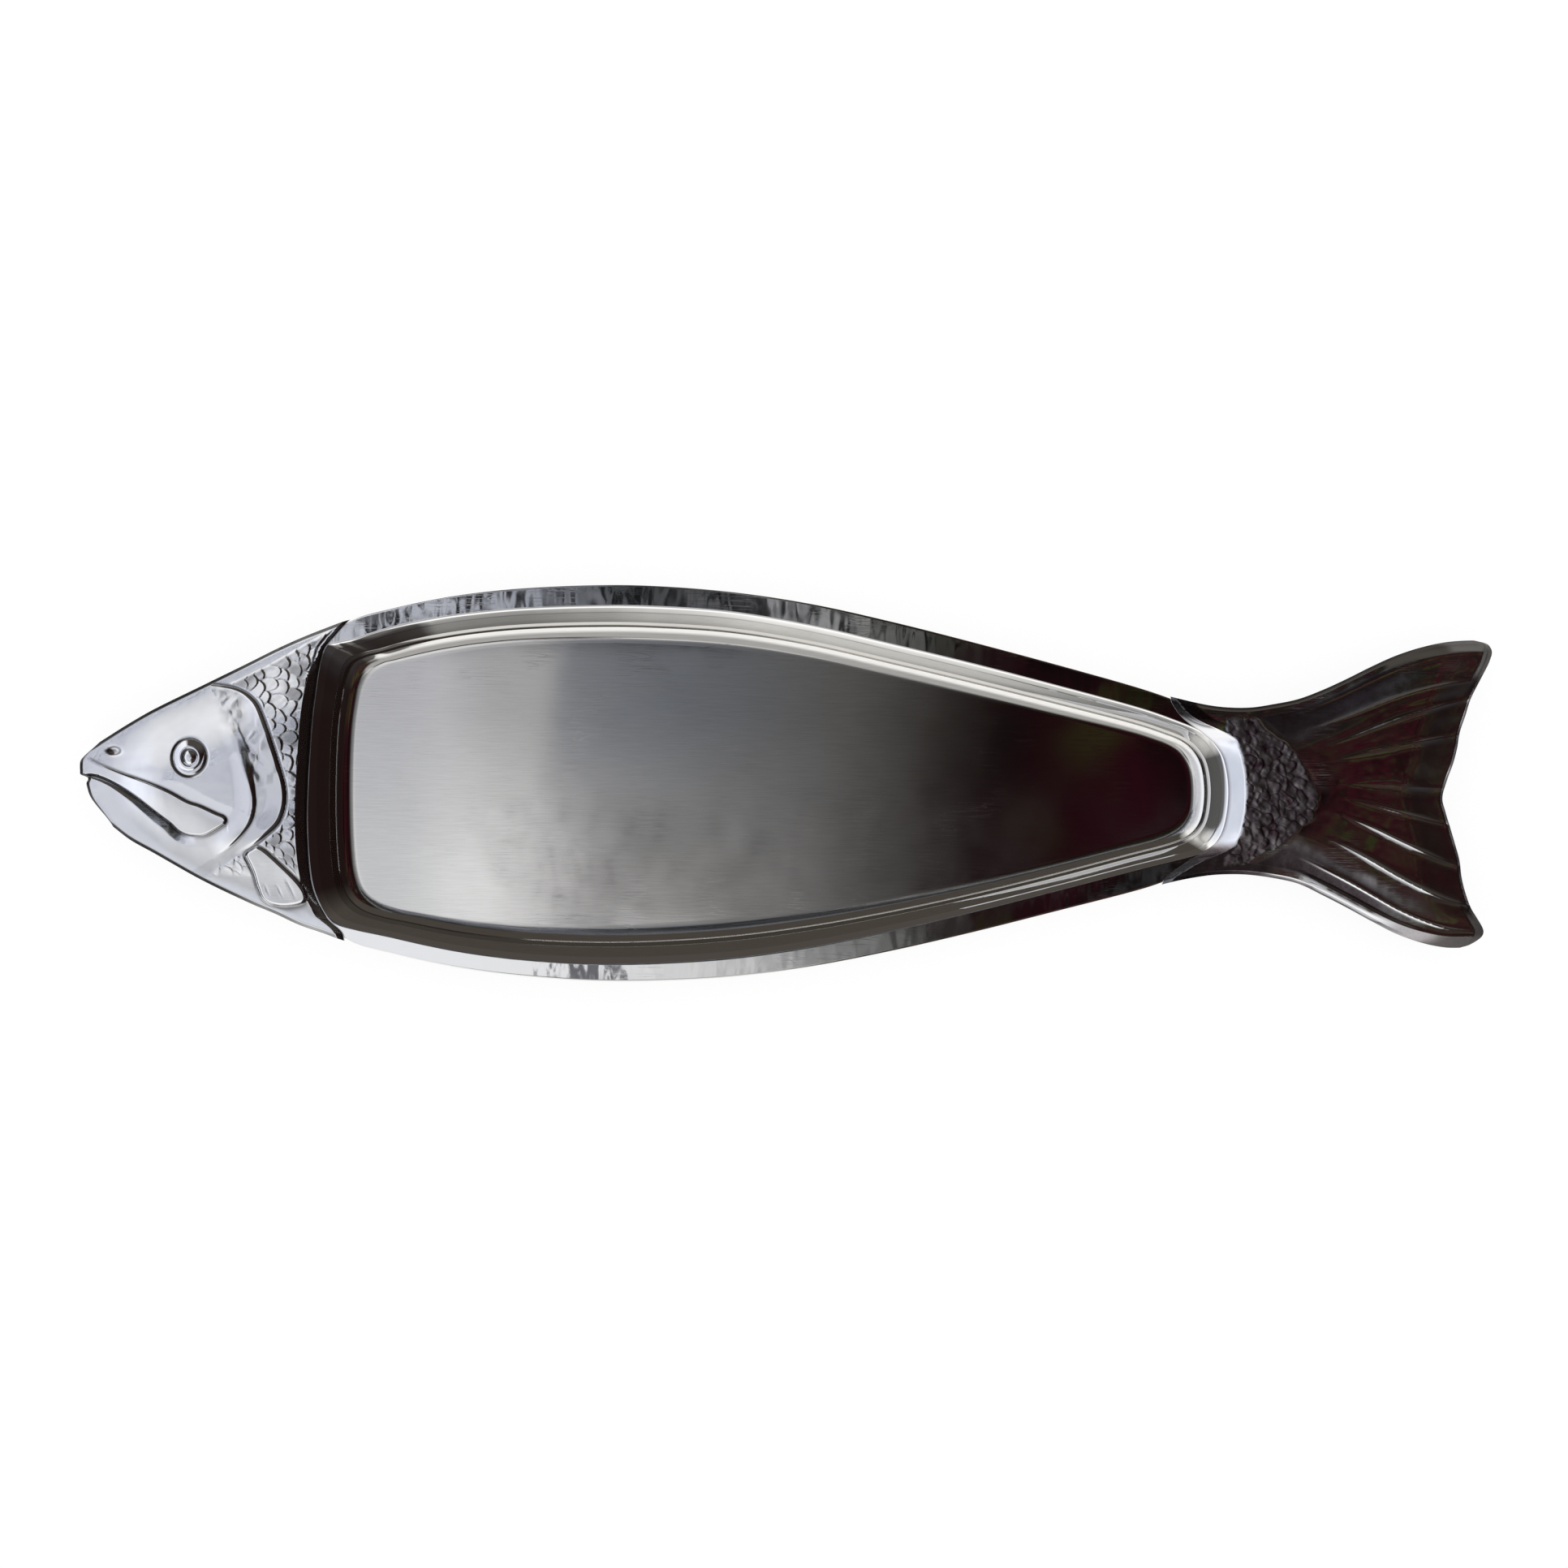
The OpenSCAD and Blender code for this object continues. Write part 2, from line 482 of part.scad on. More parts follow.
// Relief dies out at the head's own edges, so that its outline stays plain
function head_fade(x, v) = let (
        w = (back_y(x) - belly_y(x)) * cos_flank * min(v, 1 - v),
        in = abs(x - head_start(v)))
    ease(w / step_run) * ease((in - head_slope_run / 2) / step_run);
function head_hollow(s, v) = let (
        a = head_start(v),
        b = head_stop(v),
        x = lerp(a, b, hollow_s(s, a, b, head_slope_run)),
        w = hollow_v(x, v))
    [x, lerp(belly_y(x), back_y(x), w),
        rim_z + max(hollow_min_h, head_dome(x, w) - cast_wall)];

module tail_shell() {
    points = [for (j = [0:rows]) for (i = [0:files]) let (
            v = i / files,
            p = spot(j / rows, v, tail_start(v), tail_stop(v)),
            in = abs(p[0] - tail_start(v)),
            fade = ease((in - tail_slope_run / 2) / step_run))
        [each p, rim_z + tail_dome(p[0], v) + tail_relief(p[0], p[1], j / rows, v) * fade]];
    under = [for (q = walk) [each spot(q[0], q[1], tail_start(q[1]), tail_stop(q[1])), rim_z]];
    inner = [for (q = walk) tail_hollow(q[0], q[1])];
    land = [for (p = inner) [p[0], p[1], rim_z]];
    vault = [for (q = walk) tail_hollow(lerp(q[0], 0.5, 0.5), lerp(q[1], 0.5, 0.5))];
    casting(points, under, land, inner, vault, tail_hollow(0.5, 0.5), true);
}
function tail_hollow(s, v) = let (
        a = tail_start(v),
        b = tail_stop(v),
        x = lerp(a, b, hollow_s(s, a, b, tail_slope_run)),
        w = hollow_v(x, v))
    [x, lerp(belly_y(x), back_y(x), w),
        rim_z + max(hollow_min_h, tail_dome(x, w) - cast_wall)];

// Screw bosses stand on the end flange and end inside the casting's wall
screw_in = screw_l - sheet - washer_t;
module bosses(places, heights) {
    for (i = [0:len(places) - 1])
        translate([each places[i], rim_z])
        cylinder(h = heights[i] - cast_wall / 2, r = boss_d / 2);
}
module boss_holes(places) {
    for (p = places)
        translate([each p, rim_z - overrun])
        cylinder(h = screw_in + hole_spare + overrun, r = screw_d / 2 + thread_clear);
}

// Eye: a ring with a sloped flank, and the pupil's dome in its middle
module eye() {
    h = head_dome(eye_at[0], share_across(eye_at[0], eye_at[1]));
    seat = -cast_wall / 2;
    profile = concat(
        [[0, seat], [eye_d / 2, seat]],
        scaled(ring_shares, eye_d / 2, eye_h),
        scaled(pupil_shares, pupil_d / 2, eye_h));
    translate([each eye_at, rim_z + h])
    rotate_extrude()
    polygon(profile);
}

module nostril() {
    h = head_dome(nostril_at[0], share_across(nostril_at[0], nostril_at[1]));
    translate([each nostril_at, rim_z + h + nostril_r - nostril_depth])
    sphere(r = nostril_r);
}

module head() {
    heights = [for (p = head_screws) head_dome(p[0], share_across(p[0], p[1]))];
    color([0.8, 0.81, 0.83])
    difference() {
        union() {
            head_shell();
            bosses(head_screws, heights);
            eye();
        }
        boss_holes(head_screws);
        nostril();
    }
}

module tail() {
    heights = [for (p = tail_screws) tail_dome(p[0], share_across(p[0], p[1]))];
    color([0.8, 0.81, 0.83])
    difference() {
        union() {
            tail_shell();
            bosses(tail_screws, heights);
        }
        boss_holes(tail_screws);
    }
}

// Screw from below, its head on the washer and its shank up through the flange
module screw(p) {
    seat_z = rim_z - sheet - washer_t;
    color([0.6, 0.6, 0.62])
    difference() {
        translate([each p, seat_z - screw_head_h])
        union() {
            cylinder(h = screw_head_h, r = screw_head_d / 2);
            cylinder(h = screw_head_h + screw_l, r = screw_d / 2);
        }
        translate([each p, seat_z - screw_head_h - overrun])
        cylinder(h = socket_depth + overrun, r = socket_w / sqrt(3), $fn = 6);
    }
}

module washer(p) {
    color([0.66, 0.66, 0.68])
    translate([each p, rim_z - sheet - washer_t])
    difference() {
        cylinder(h = washer_t, r = washer_d / 2);
        translate([0, 0, -overrun])
        cylinder(h = washer_t + 2 * overrun, r = screw_d / 2 + hole_clear);
    }
}

tray();
head();
tail();
for (i = [0:len(head_screws) - 1]) {
    screw(head_screws[i]);
    washer(head_screws[i]);
}
for (i = [0:len(tail_screws) - 1]) {
    screw(tail_screws[i]);
    washer(tail_screws[i]);
}
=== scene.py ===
"""Looks of a fish shaped serving platter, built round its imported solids.

Lengths are in metres. The tray, the head and the tail are made again here as fine
meshes on the solids' own outlines, with the relief that the solids leave out.
"""

import bpy
import numpy as np
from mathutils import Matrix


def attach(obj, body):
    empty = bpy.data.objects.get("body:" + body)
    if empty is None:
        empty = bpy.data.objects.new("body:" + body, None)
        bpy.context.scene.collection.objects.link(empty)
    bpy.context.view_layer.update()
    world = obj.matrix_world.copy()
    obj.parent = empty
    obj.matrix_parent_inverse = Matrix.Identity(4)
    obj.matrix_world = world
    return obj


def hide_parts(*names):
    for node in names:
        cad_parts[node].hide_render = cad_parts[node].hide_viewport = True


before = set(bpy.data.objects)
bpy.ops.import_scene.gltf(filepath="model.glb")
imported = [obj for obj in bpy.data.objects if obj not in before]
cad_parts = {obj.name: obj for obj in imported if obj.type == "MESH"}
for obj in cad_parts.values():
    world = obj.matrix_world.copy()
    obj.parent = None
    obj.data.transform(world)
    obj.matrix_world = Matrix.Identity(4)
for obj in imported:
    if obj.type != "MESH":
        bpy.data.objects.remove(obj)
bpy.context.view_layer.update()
MM = 0.001

# Platter
LENGTH = 700 * MM
BODY_W = 197 * MM
SHEET = 1 * MM
RIM_W = 10.2 * MM
WELL_DEPTH = 16 * MM
WALL_RUN = 17 * MM
FLANGE_INSET = 5 * MM
RIM_Z = SHEET + WELL_DEPTH

# Head
HEAD_L = 113 * MM
HEAD_EDGE_H = 3.2 * MM
HEAD_CROWN_H = 6.5 * MM
HEAD_CROWN_RUN = 38 * MM
HEAD_SLOPE_RUN = 4.6 * MM
GILL_STEP_H = 0.9 * MM
CHEEK_STEP_H = 0.7 * MM
LIP_H = 1.1 * MM
MOUTH_DEPTH = 1.5 * MM
FIN_STEP_H = 1.2 * MM
HEAD_SCALE_H = 0.55 * MM
EYE_R = 8.9 * MM
EYE_NARROWING = 0.93
NOSTRIL_DEPTH = 1 * MM
NOSTRIL_HALF = (2.9 * MM, 1.8 * MM)
GILL_RUN = 11 * MM
CHEEK_RUN = 9 * MM
ENGRAVED_DEPTH = 0.3 * MM
RAY_DEPTH = 0.12 * MM
SOCKET_DEPTH = 0.5 * MM
HEAD_SCALE_PITCH = 5.4 * MM
HEAD_SCALE_W = 6.8 * MM
BREAST_R = 9 * MM
RUFFLE_H = 0.16 * MM
TEMPLE_H = 0.1 * MM
TEMPLE_HALF = (6 * MM, 9 * MM)
HEAD_WAVE_L = 17 * MM
HEAD_SLOPE_SHARE = 0.07

# Tail
TAIL_L = 130 * MM
TAIL_EDGE_H = 3.4 * MM
TAIL_CROWN_H = 2.4 * MM
TAIL_CROWN_RUN = 22 * MM
TAIL_SLOPE_RUN = 8 * MM
FLUTE_DEPTH = 0.65 * MM
TAIL_SCALE_H = 0.6 * MM
BEAD_H = 0.7 * MM
BEAD_W = 6 * MM
BEAD_FLANK = 3.4 * MM
TAIL_LIP_W = 5 * MM
LIP_SLOPE = 0.5
FAN_SHARE = 0.4
FLANK_BEND = 7
FIRST_FAINT = 3
LEAST_FLUTE = 0.004
FULL_FLUTE = 0.1
FLUTE_WAVE_H = 0.07 * MM
TAIL_SCALE_PITCH = 4.7 * MM
TAIL_SCALE_W = 6 * MM
TAIL_WAVE_L = 15 * MM
TAIL_SLOPE_SHARE = 0.09

# Castings
CAST_WALL = 2.8 * MM
LAND_W = 4.5 * MM
BOSS_R = 4.5 * MM
BOSS_BORE_R = 2.05 * MM
BOSS_BORE_DEPTH = 4.7 * MM
BOSS_BEVEL = 0.3 * MM
BOSS_SIDES = 40
FOOT_H = 0.5 * MM
FOOT_W = 0.7 * MM
EDGE_W = 1.7 * MM
EDGE_CLEAR = 0.03 * MM
SIDE_SLOPE = 0.84
TIP_SLOPE = 0.8
CROWN_EASE = 0.7
COS_FLANK = 0.9
WAVE_H = 0.05 * MM
SLANT_STEP = 0.02
SLOPE_ROUNDING = 0.03
RECESS_DEPTH = 0.25 * MM
RECESS_REACH = 4
ROOF_SHARES = (0, 0.06, 0.5)

# Outline on the back's side: shares of the length from the middle, and of the width
BACK_SHARES = [
    [-0.5, 0.06], [-0.491, 0.0765], [-0.4825, 0.0965], [-0.4655, 0.1355], [-0.448, 0.172],
    [-0.414, 0.233], [-0.38, 0.294], [-0.3625, 0.326], [-0.345, 0.355], [-0.328, 0.38],
    [-0.31, 0.404], [-0.27, 0.443], [-0.23, 0.471], [-0.19, 0.488], [-0.15, 0.497],
    [-0.11, 0.5], [-0.07, 0.494], [-0.03, 0.482], [0.02, 0.456], [0.07, 0.419],
    [0.12, 0.377], [0.17, 0.332], [0.22, 0.286], [0.26, 0.2465], [0.28, 0.228],
    [0.3, 0.2135], [0.315, 0.2085], [0.33, 0.2095], [0.345, 0.218], [0.363, 0.232],
    [0.38, 0.2555], [0.397, 0.284], [0.414, 0.315], [0.431, 0.343], [0.448, 0.364],
    [0.466, 0.379], [0.483, 0.3845], [0.5, 0.384]]
# The same on the belly's side
BELLY_SHARES = [
    [-0.5, 0.078], [-0.491, 0.095], [-0.48, 0.115], [-0.464, 0.157], [-0.447, 0.19],
    [-0.412, 0.258], [-0.378, 0.314], [-0.36, 0.34], [-0.343, 0.367], [-0.326, 0.387],
    [-0.31, 0.407], [-0.27, 0.443], [-0.23, 0.471], [-0.19, 0.488], [-0.15, 0.498],
    [-0.11, 0.5], [-0.07, 0.494], [-0.03, 0.483], [0.02, 0.457], [0.07, 0.421],
    [0.12, 0.379], [0.17, 0.333], [0.22, 0.285], [0.26, 0.247], [0.28, 0.2285],
    [0.3, 0.2155], [0.315, 0.2115], [0.33, 0.2125], [0.348, 0.2205], [0.365, 0.234],
    [0.382, 0.262], [0.4, 0.294], [0.417, 0.326], [0.434, 0.356], [0.452, 0.378],
    [0.469, 0.3895], [0.483, 0.3895], [0.5, 0.387]]
# Front of the snout: share across from belly to back, share of HEAD_L in from the tip
SNOUT_SHARES = [
    [0, 0.15], [0.1, 0.097], [0.2, 0.061], [0.28, 0.044], [0.38, 0.034], [0.46, 0.03],
    [0.52, 0.037], [0.55, 0.033], [0.6, 0.005], [0.68, 0.001], [0.77, 0], [0.86, 0.004],
    [0.92, 0.022], [0.97, 0.052], [1, 0.085]]
# Head's end at the well: share across, share of HEAD_L past the edge of the well
HEAD_END_SHARES = [
    [0, 0.17], [0.025, 0.16], [0.05, 0.105], [0.08, 0.07], [0.14, 0.033], [0.23, 0.013],
    [0.37, 0.002], [0.53, 0.006], [0.7, 0.018], [0.82, 0.036], [0.9, 0.054], [0.94, 0.078],
    [0.97, 0.125], [1, 0.178]]
# Tail's end at the well: share across, share of TAIL_L past the edge of the well
TAIL_END_SHARES = [
    [0, 0.25], [0.03, 0.235], [0.09, 0.162], [0.14, 0.094], [0.195, 0.044], [0.31, 0.012],
    [0.5, 0], [0.68, 0.018], [0.775, 0.054], [0.835, 0.106], [0.9, 0.178], [0.965, 0.218],
    [1, 0.225]]
# Rear edge of the tail: share across, share of TAIL_L in from the tips
FORK_SHARES = [
    [0, 0.11], [0.008, 0.075], [0.03, 0.0315], [0.046, 0.02], [0.062, 0.0225], [0.093, 0.043],
    [0.13, 0.07], [0.18, 0.092], [0.23, 0.107], [0.285, 0.116], [0.34, 0.134],
    [0.39, 0.152], [0.445, 0.172], [0.49, 0.184], [0.55, 0.166], [0.6, 0.145],
    [0.65, 0.13], [0.7, 0.121], [0.755, 0.1], [0.81, 0.08], [0.87, 0.045], [0.915, 0.018],
    [0.94, 0.006], [0.962, 0], [0.978, 0.006], [0.992, 0.025], [1, 0.07]]

# Edge of the well from the middle of the head's end over the back: shares of its sizes
WELL_EDGE_SHARES = [
    [-0.4985, 0.023], [-0.496, 0.16], [-0.491, 0.263], [-0.487, 0.332], [-0.481, 0.373],
    [-0.468, 0.384], [-0.4485, 0.396], [-0.4135, 0.4255], [-0.37, 0.452], [-0.326, 0.47],
    [-0.2725, 0.4845], [-0.202, 0.494], [-0.1315, 0.4955], [-0.043, 0.4825], [0.045, 0.447],
    [0.1335, 0.397], [0.222, 0.3445], [0.3105, 0.288], [0.399, 0.229], [0.443, 0.1915],
    [0.47, 0.1625], [0.485, 0.129], [0.495, 0.0815], [0.5, -0.003], [0.4965, -0.092],
    [0.488, -0.145], [0.474, -0.1725], [0.4495, -0.193], [0.401, -0.2255], [0.313, -0.2875],
    [0.225, -0.3475], [0.137, -0.4035], [0.049, -0.4525], [-0.039, -0.487],
    [-0.127, -0.504], [-0.1975, -0.5065], [-0.268, -0.497], [-0.322, -0.4815],
    [-0.366, -0.462], [-0.4095, -0.438], [-0.4445, -0.42], [-0.467, -0.4025],
    [-0.482, -0.3665], [-0.492, -0.3075], [-0.4965, -0.2275], [-0.499, -0.1135]]
# Edge of the floor, point for point: shares of the floor's sizes
FLOOR_EDGE_SHARES = [
    [-0.487, 0.031], [-0.486, 0.16], [-0.483, 0.2465], [-0.4785, 0.3095], [-0.468, 0.3645],
    [-0.451, 0.3995], [-0.432, 0.416], [-0.408, 0.4325], [-0.3815, 0.449], [-0.343, 0.468],
    [-0.2905, 0.484], [-0.2185, 0.4935], [-0.142, 0.4935], [-0.0465, 0.479], [0.0495, 0.439],
    [0.1455, 0.3785], [0.2415, 0.315], [0.3375, 0.2505], [0.419, 0.195], [0.4525, 0.168],
    [0.474, 0.143], [0.4875, 0.106], [0.4945, 0.0575], [0.4965, -0.0055], [0.495, -0.0655],
    [0.488, -0.103], [0.476, -0.1325], [0.456, -0.159], [0.4205, -0.189], [0.3395, -0.2555],
    [0.244, -0.326], [0.1485, -0.386], [0.053, -0.435], [-0.0425, -0.4725],
    [-0.138, -0.495], [-0.215, -0.501], [-0.2865, -0.4975], [-0.3395, -0.486],
    [-0.3775, -0.4725], [-0.4065, -0.459], [-0.433, -0.444], [-0.4565, -0.4175],
    [-0.473, -0.3755], [-0.4805, -0.3125], [-0.484, -0.2265], [-0.486, -0.112]]
# End flanges: share of HEAD_L or TAIL_L out from the well's edge, share of the width there
HEAD_FLANGE_SHARES = [
    [0.451, 0], [0.425, 0.5], [0.327, 0.82], [0.168, 1], [0.009, 1], [-0.115, 1.03]]
TAIL_FLANGE_SHARES = [
    [-0.185, 1.09], [-0.077, 1.02], [0.06, 1], [0.185, 0.75], [0.246, 0],
    [0.185, -0.75], [0.06, -1], [-0.077, -1.02], [-0.215, -1.09]]
FIRST_TAIL = 19
# Wall of the well, rim to floor: share of its width, share of its depth, fillet's reach
WALL_SHARES = [
    [0, 0, 0.045], [0.224, 0.189, 0.1], [0.435, 0.37, 0.015], [0.553, 0.8975, 0.02],
    [0.642, 0.948, 0.045], [0.732, 0.978, 0.045], [0.821, 0.9934, 0.045],
    [0.91, 0.9992, 0.045], [1, 1, 0.04]]

# Relief of the head: share of HEAD_L from the snout, share of BODY_W from the middle
GILL_SHARES = [
    [0.545, 0.238], [0.576, 0.237], [0.641, 0.233], [0.698, 0.225], [0.748, 0.209],
    [0.791, 0.181], [0.839, 0.116], [0.883, 0.041], [0.913, -0.019], [0.914, -0.066],
    [0.887, -0.111], [0.83, -0.144], [0.774, -0.169], [0.713, -0.192]]
CHEEK_SHARES = [
    [0.654, 0.16], [0.684, 0.136], [0.715, 0.106],
    [0.743, 0.069], [0.765, 0.018], [0.778, -0.04], [0.779, -0.073], [0.762, -0.11],
    [0.72, -0.143], [0.663, -0.174], [0.596, -0.199]]
LIP_TOP_SHARES = [
    [0.03, 0.052], [0.085, 0.035], [0.181, 0.013], [0.303, -0.01], [0.4, -0.032],
    [0.486, -0.058], [0.54, -0.068], [0.611, -0.086], [0.645, -0.094], [0.657, -0.104],
    [0.651, -0.116]]
LIP_LOW_SHARES = [
    [0.651, -0.116], [0.612, -0.13], [0.556, -0.146], [0.495, -0.146], [0.445, -0.136],
    [0.402, -0.114], [0.344, -0.09], [0.25, -0.05], [0.153, -0.016], [0.078, 0.002],
    [0.021, 0.006]]
FIN_SHARES = [
    [0.731, -0.192], [0.752, -0.179], [0.806, -0.171], [0.899, -0.215], [0.982, -0.264],
    [1.008, -0.298], [0.976, -0.317], [0.884, -0.322], [0.816, -0.308], [0.787, -0.275],
    [0.764, -0.232], [0.731, -0.192]]
FIN_RAY_SHARES = [
    [[0.818, -0.262], [0.842, -0.3]], [[0.872, -0.264], [0.9, -0.302]],
    [[0.912, -0.248], [0.958, -0.304]]]
EYE_SHARE = [0.491, 0.052]
NOSTRIL_SHARE = [0.152, 0.066]
BREAST_SHARE = [0.69, -0.252]
TEMPLE_SHARE = [0.676, 0.178]
# Eye from its lower to its upper middle: share of EYE_R, height in millimetres
EYE_PROFILE = [
    [0, -0.9], [1, -0.9], [1, -0.45], [0.95, -0.1], [0.64, 1.05], [0.51, 1.1], [0.47, 0.4],
    [0.44, 0.05], [0.37, 0.45], [0.27, 0.95], [0.15, 1.18], [0, 1.22]]
EYE_FILLETS = np.array([0.1, 0.1, 0.15, 0.35, 0.35, 0.2, 0.15, 0.2, 0.3, 0.35]) * MM
EYE_STEPS = 5
EYE_SIDES = 96
MOAT_SHARE = 0.43
MOAT_HALF = 0.06

# Scaled root of the tail: share of TAIL_L from the well's edge, share of BODY_W
ROOT_SHARES = [
    [0, 0.21], [0.098, 0.178], [0.179, 0.136], [0.25, 0.09], [0.3, 0.045], [0.337, 0],
    [0.345, -0.02], [0.313, -0.062], [0.258, -0.103], [0.15, -0.153], [0, -0.2]]
# Ridges between the flutes: share across where the root ends, and at the rear edge
RIDGE_SHARES = [
    [0.06, 0.015], [0.135, 0.045], [0.29, 0.135], [0.43, 0.265], [0.495, 0.4],
    [0.545, 0.52], [0.645, 0.693], [0.715, 0.81], [0.82, 0.87], [0.93, 0.965]]

# Screws: share of HEAD_L or TAIL_L out from the well's edge, share of BODY_W
HEAD_SCREW_SHARES = [[0.16, 0.2], [0.36, 0], [0.16, -0.2]]
TAIL_SCREW_SHARES = [[0.125, 0.1], [0.125, -0.1]]

HEAD_WELL_X = HEAD_L - LENGTH / 2
TAIL_WELL_X = LENGTH / 2 - TAIL_L
WELL_X = (HEAD_L - TAIL_L) / 2
WELL_L = LENGTH - HEAD_L - TAIL_L
WELL_W = BODY_W - 2 * RIM_W
FLOOR_L = WELL_L - 2 * WALL_RUN
FLOOR_W = WELL_W - 2 * WALL_RUN


# Curves

def lerp(a, b, t):
    """Value at share t of the way from a to b."""
    return a + (b - a) * t


def ease(t):
    """Smooth step from 0 to 1."""
    c = np.clip(t, 0, 1)
    return c * c * (3 - 2 * c)


def rise(value, start, run):
    """Smooth step from 0 at start to 1 a run further on; a run below zero counts backwards."""
    return ease((value - start) / run)


def rise_mm(way, start, run):
    """The same along a way in metres, with start and run in millimetres."""
    return rise(way, start * MM, run * MM)


def crown(t):
    """Rise from 0 to 1 that is steep at its start and level at its end."""
    return 1 - (1 - np.clip(t, 0, 1)) ** 2


def scaled(shares, x, y):
    """Table of shares as points: one column times x, the other times y."""
    return np.array(shares, float)[:, :2] * [x, y]


def curve_at(p, x):
    """Height at x of the smooth curve through points of rising x: cubics whose end slopes are
    those of the chord from the point before to the point after."""
    i = np.clip(np.searchsorted(p[:, 0], x, side="right") - 1, 0, len(p) - 2)
    k = np.arange(len(p))
    before, after = np.maximum(k - 1, 0), np.minimum(k + 1, len(p) - 1)
    slope = (p[after, 1] - p[before, 1]) / (p[after, 0] - p[before, 0])
    w = p[i + 1, 0] - p[i, 0]
    t = (x - p[i, 0]) / w
    u = 1 - t
    ends = p[i, 1] * u * u * (1 + 2 * t) + p[i + 1, 1] * t * t * (1 + 2 * u)
    return ends + slope[i] * w * t * u * u - slope[i + 1] * w * t * t * u


def bend(a, b, c, d, t):
    """Point at share t from b to c of the Catmull-Rom curve through a, b, c and d."""
    return 0.5 * (2 * b + (c - a) * t + (2 * a - 5 * b + 4 * c - d) * t ** 2
                  + (3 * b - a - 3 * c + d) * t ** 3)


def closed_curve(p, steps):
    """Smooth closed curve through chosen points, with steps from each to the next."""
    t = (np.arange(steps) / steps)[None, :, None]
    a, b, c, d = (np.roll(p, shift, axis=0)[:, None, :] for shift in (1, 0, -1, -2))
    return bend(a, b, c, d, t).reshape(-1, 2)


def open_curve(p, steps=8):
    """Smooth open curve through chosen points, whose ends are carried on straight."""
    q = np.vstack([2 * p[0] - p[1], p, 2 * p[-1] - p[-2]])
    t = (np.arange(steps) / steps)[None, :, None]
    a, b, c, d = (q[k:len(q) - 3 + k][:, None, :] for k in range(4))
    return np.vstack([bend(a, b, c, d, t).reshape(-1, 2), p[-1:]])


def filleted(corners, reach, steps):
    """Line through corners, each rounded by a parabola that starts and ends its reach away."""
    t = np.linspace(0, 1, steps)[:, None]
    runs = [corners[:1]]
    for a, b, c, r in zip(corners[:-2], corners[1:-1], corners[2:], reach):
        start = b + (a - b) * r / np.linalg.norm(a - b)
        stop = b + (c - b) * r / np.linalg.norm(c - b)
        runs.append((1 - t) ** 2 * start + 2 * t * (1 - t) * b + t ** 2 * stop)
    return np.vstack(runs + [corners[-1:]])


def gap_to(line, x, y):
    """Distance of each grid point from a line of points, less than zero on the line's right,
    and the share of the line's length at its nearest part."""
    lengths = np.linalg.norm(np.diff(line, axis=0), axis=1)
    starts = np.concatenate([[0], np.cumsum(lengths)])
    best, side, along = np.full(x.shape, np.inf), np.ones(x.shape), np.zeros(x.shape)
    for (ax, ay), (bx, by), length, start in zip(line[:-1], line[1:], lengths, starts):
        dx, dy = bx - ax, by - ay
        t = np.clip(((x - ax) * dx + (y - ay) * dy) / (length * length), 0, 1)
        gap = np.hypot(x - ax - dx * t, y - ay - dy * t)
        near = gap < best
        best = np.where(near, gap, best)
        side = np.where(near, np.where(dx * (y - ay) - dy * (x - ax) < 0, -1, 1), side)
        along = np.where(near, (start + t * length) / starts[-1], along)
    return best * side, along


def inside(line, x, y):
    """Distance of each grid point in from a closed line of points, less than zero outside."""
    gap, _ = gap_to(line, x, y)
    crossings = np.zeros(x.shape, int)
    for (ax, ay), (bx, by) in zip(line[:-1], line[1:]):
        if ay != by:
            spans = (ay > y) != (by > y)
            crossings += spans & (x < ax + (y - ay) * (bx - ax) / (by - ay))
    return np.where(crossings % 2 == 1, np.abs(gap), -np.abs(gap))


LUMP_TABLE = 256


def lumps(x, y, size, seed):
    """Smooth noise from -1 to 1: random values on a square lattice of that size, eased between."""
    table = np.random.default_rng(seed).uniform(-1, 1, (LUMP_TABLE, LUMP_TABLE))
    u, v = x / size, y / size
    i, j = np.floor(u).astype(int), np.floor(v).astype(int)
    i0, i1, j0, j1 = (k % LUMP_TABLE for k in (i, i + 1, j, j + 1))
    a, b = ease(u - i), ease(v - j)
    return lerp(lerp(table[i0, j0], table[i1, j0], a), lerp(table[i0, j1], table[i1, j1], a), b)


BACK = scaled(BACK_SHARES, LENGTH, BODY_W)
BELLY = scaled(BELLY_SHARES, LENGTH, -BODY_W)
SNOUT = scaled(SNOUT_SHARES, 1, HEAD_L)
HEAD_END = scaled(HEAD_END_SHARES, 1, HEAD_L)
TAIL_END = scaled(TAIL_END_SHARES, 1, TAIL_L)
FORK = scaled(FORK_SHARES, 1, TAIL_L)


def back_y(x):
    """Outline on the back's side at x."""
    return curve_at(BACK, x)


def belly_y(x):
    """Outline on the belly's side at x."""
    return curve_at(BELLY, x)


def share_across(x, y):
    """Share of the way across at x, from the belly's outline to the back's."""
    return (y - belly_y(x)) / (back_y(x) - belly_y(x))


def side_y(x, share):
    """Height of the flange's edge at x: a share of the castings' outline less the inset."""
    if share < 0:
        return -share * (belly_y(x) + FLANGE_INSET)
    return share * (back_y(x) - FLANGE_INSET)


# Meshes

SHARP_ANGLE = 38


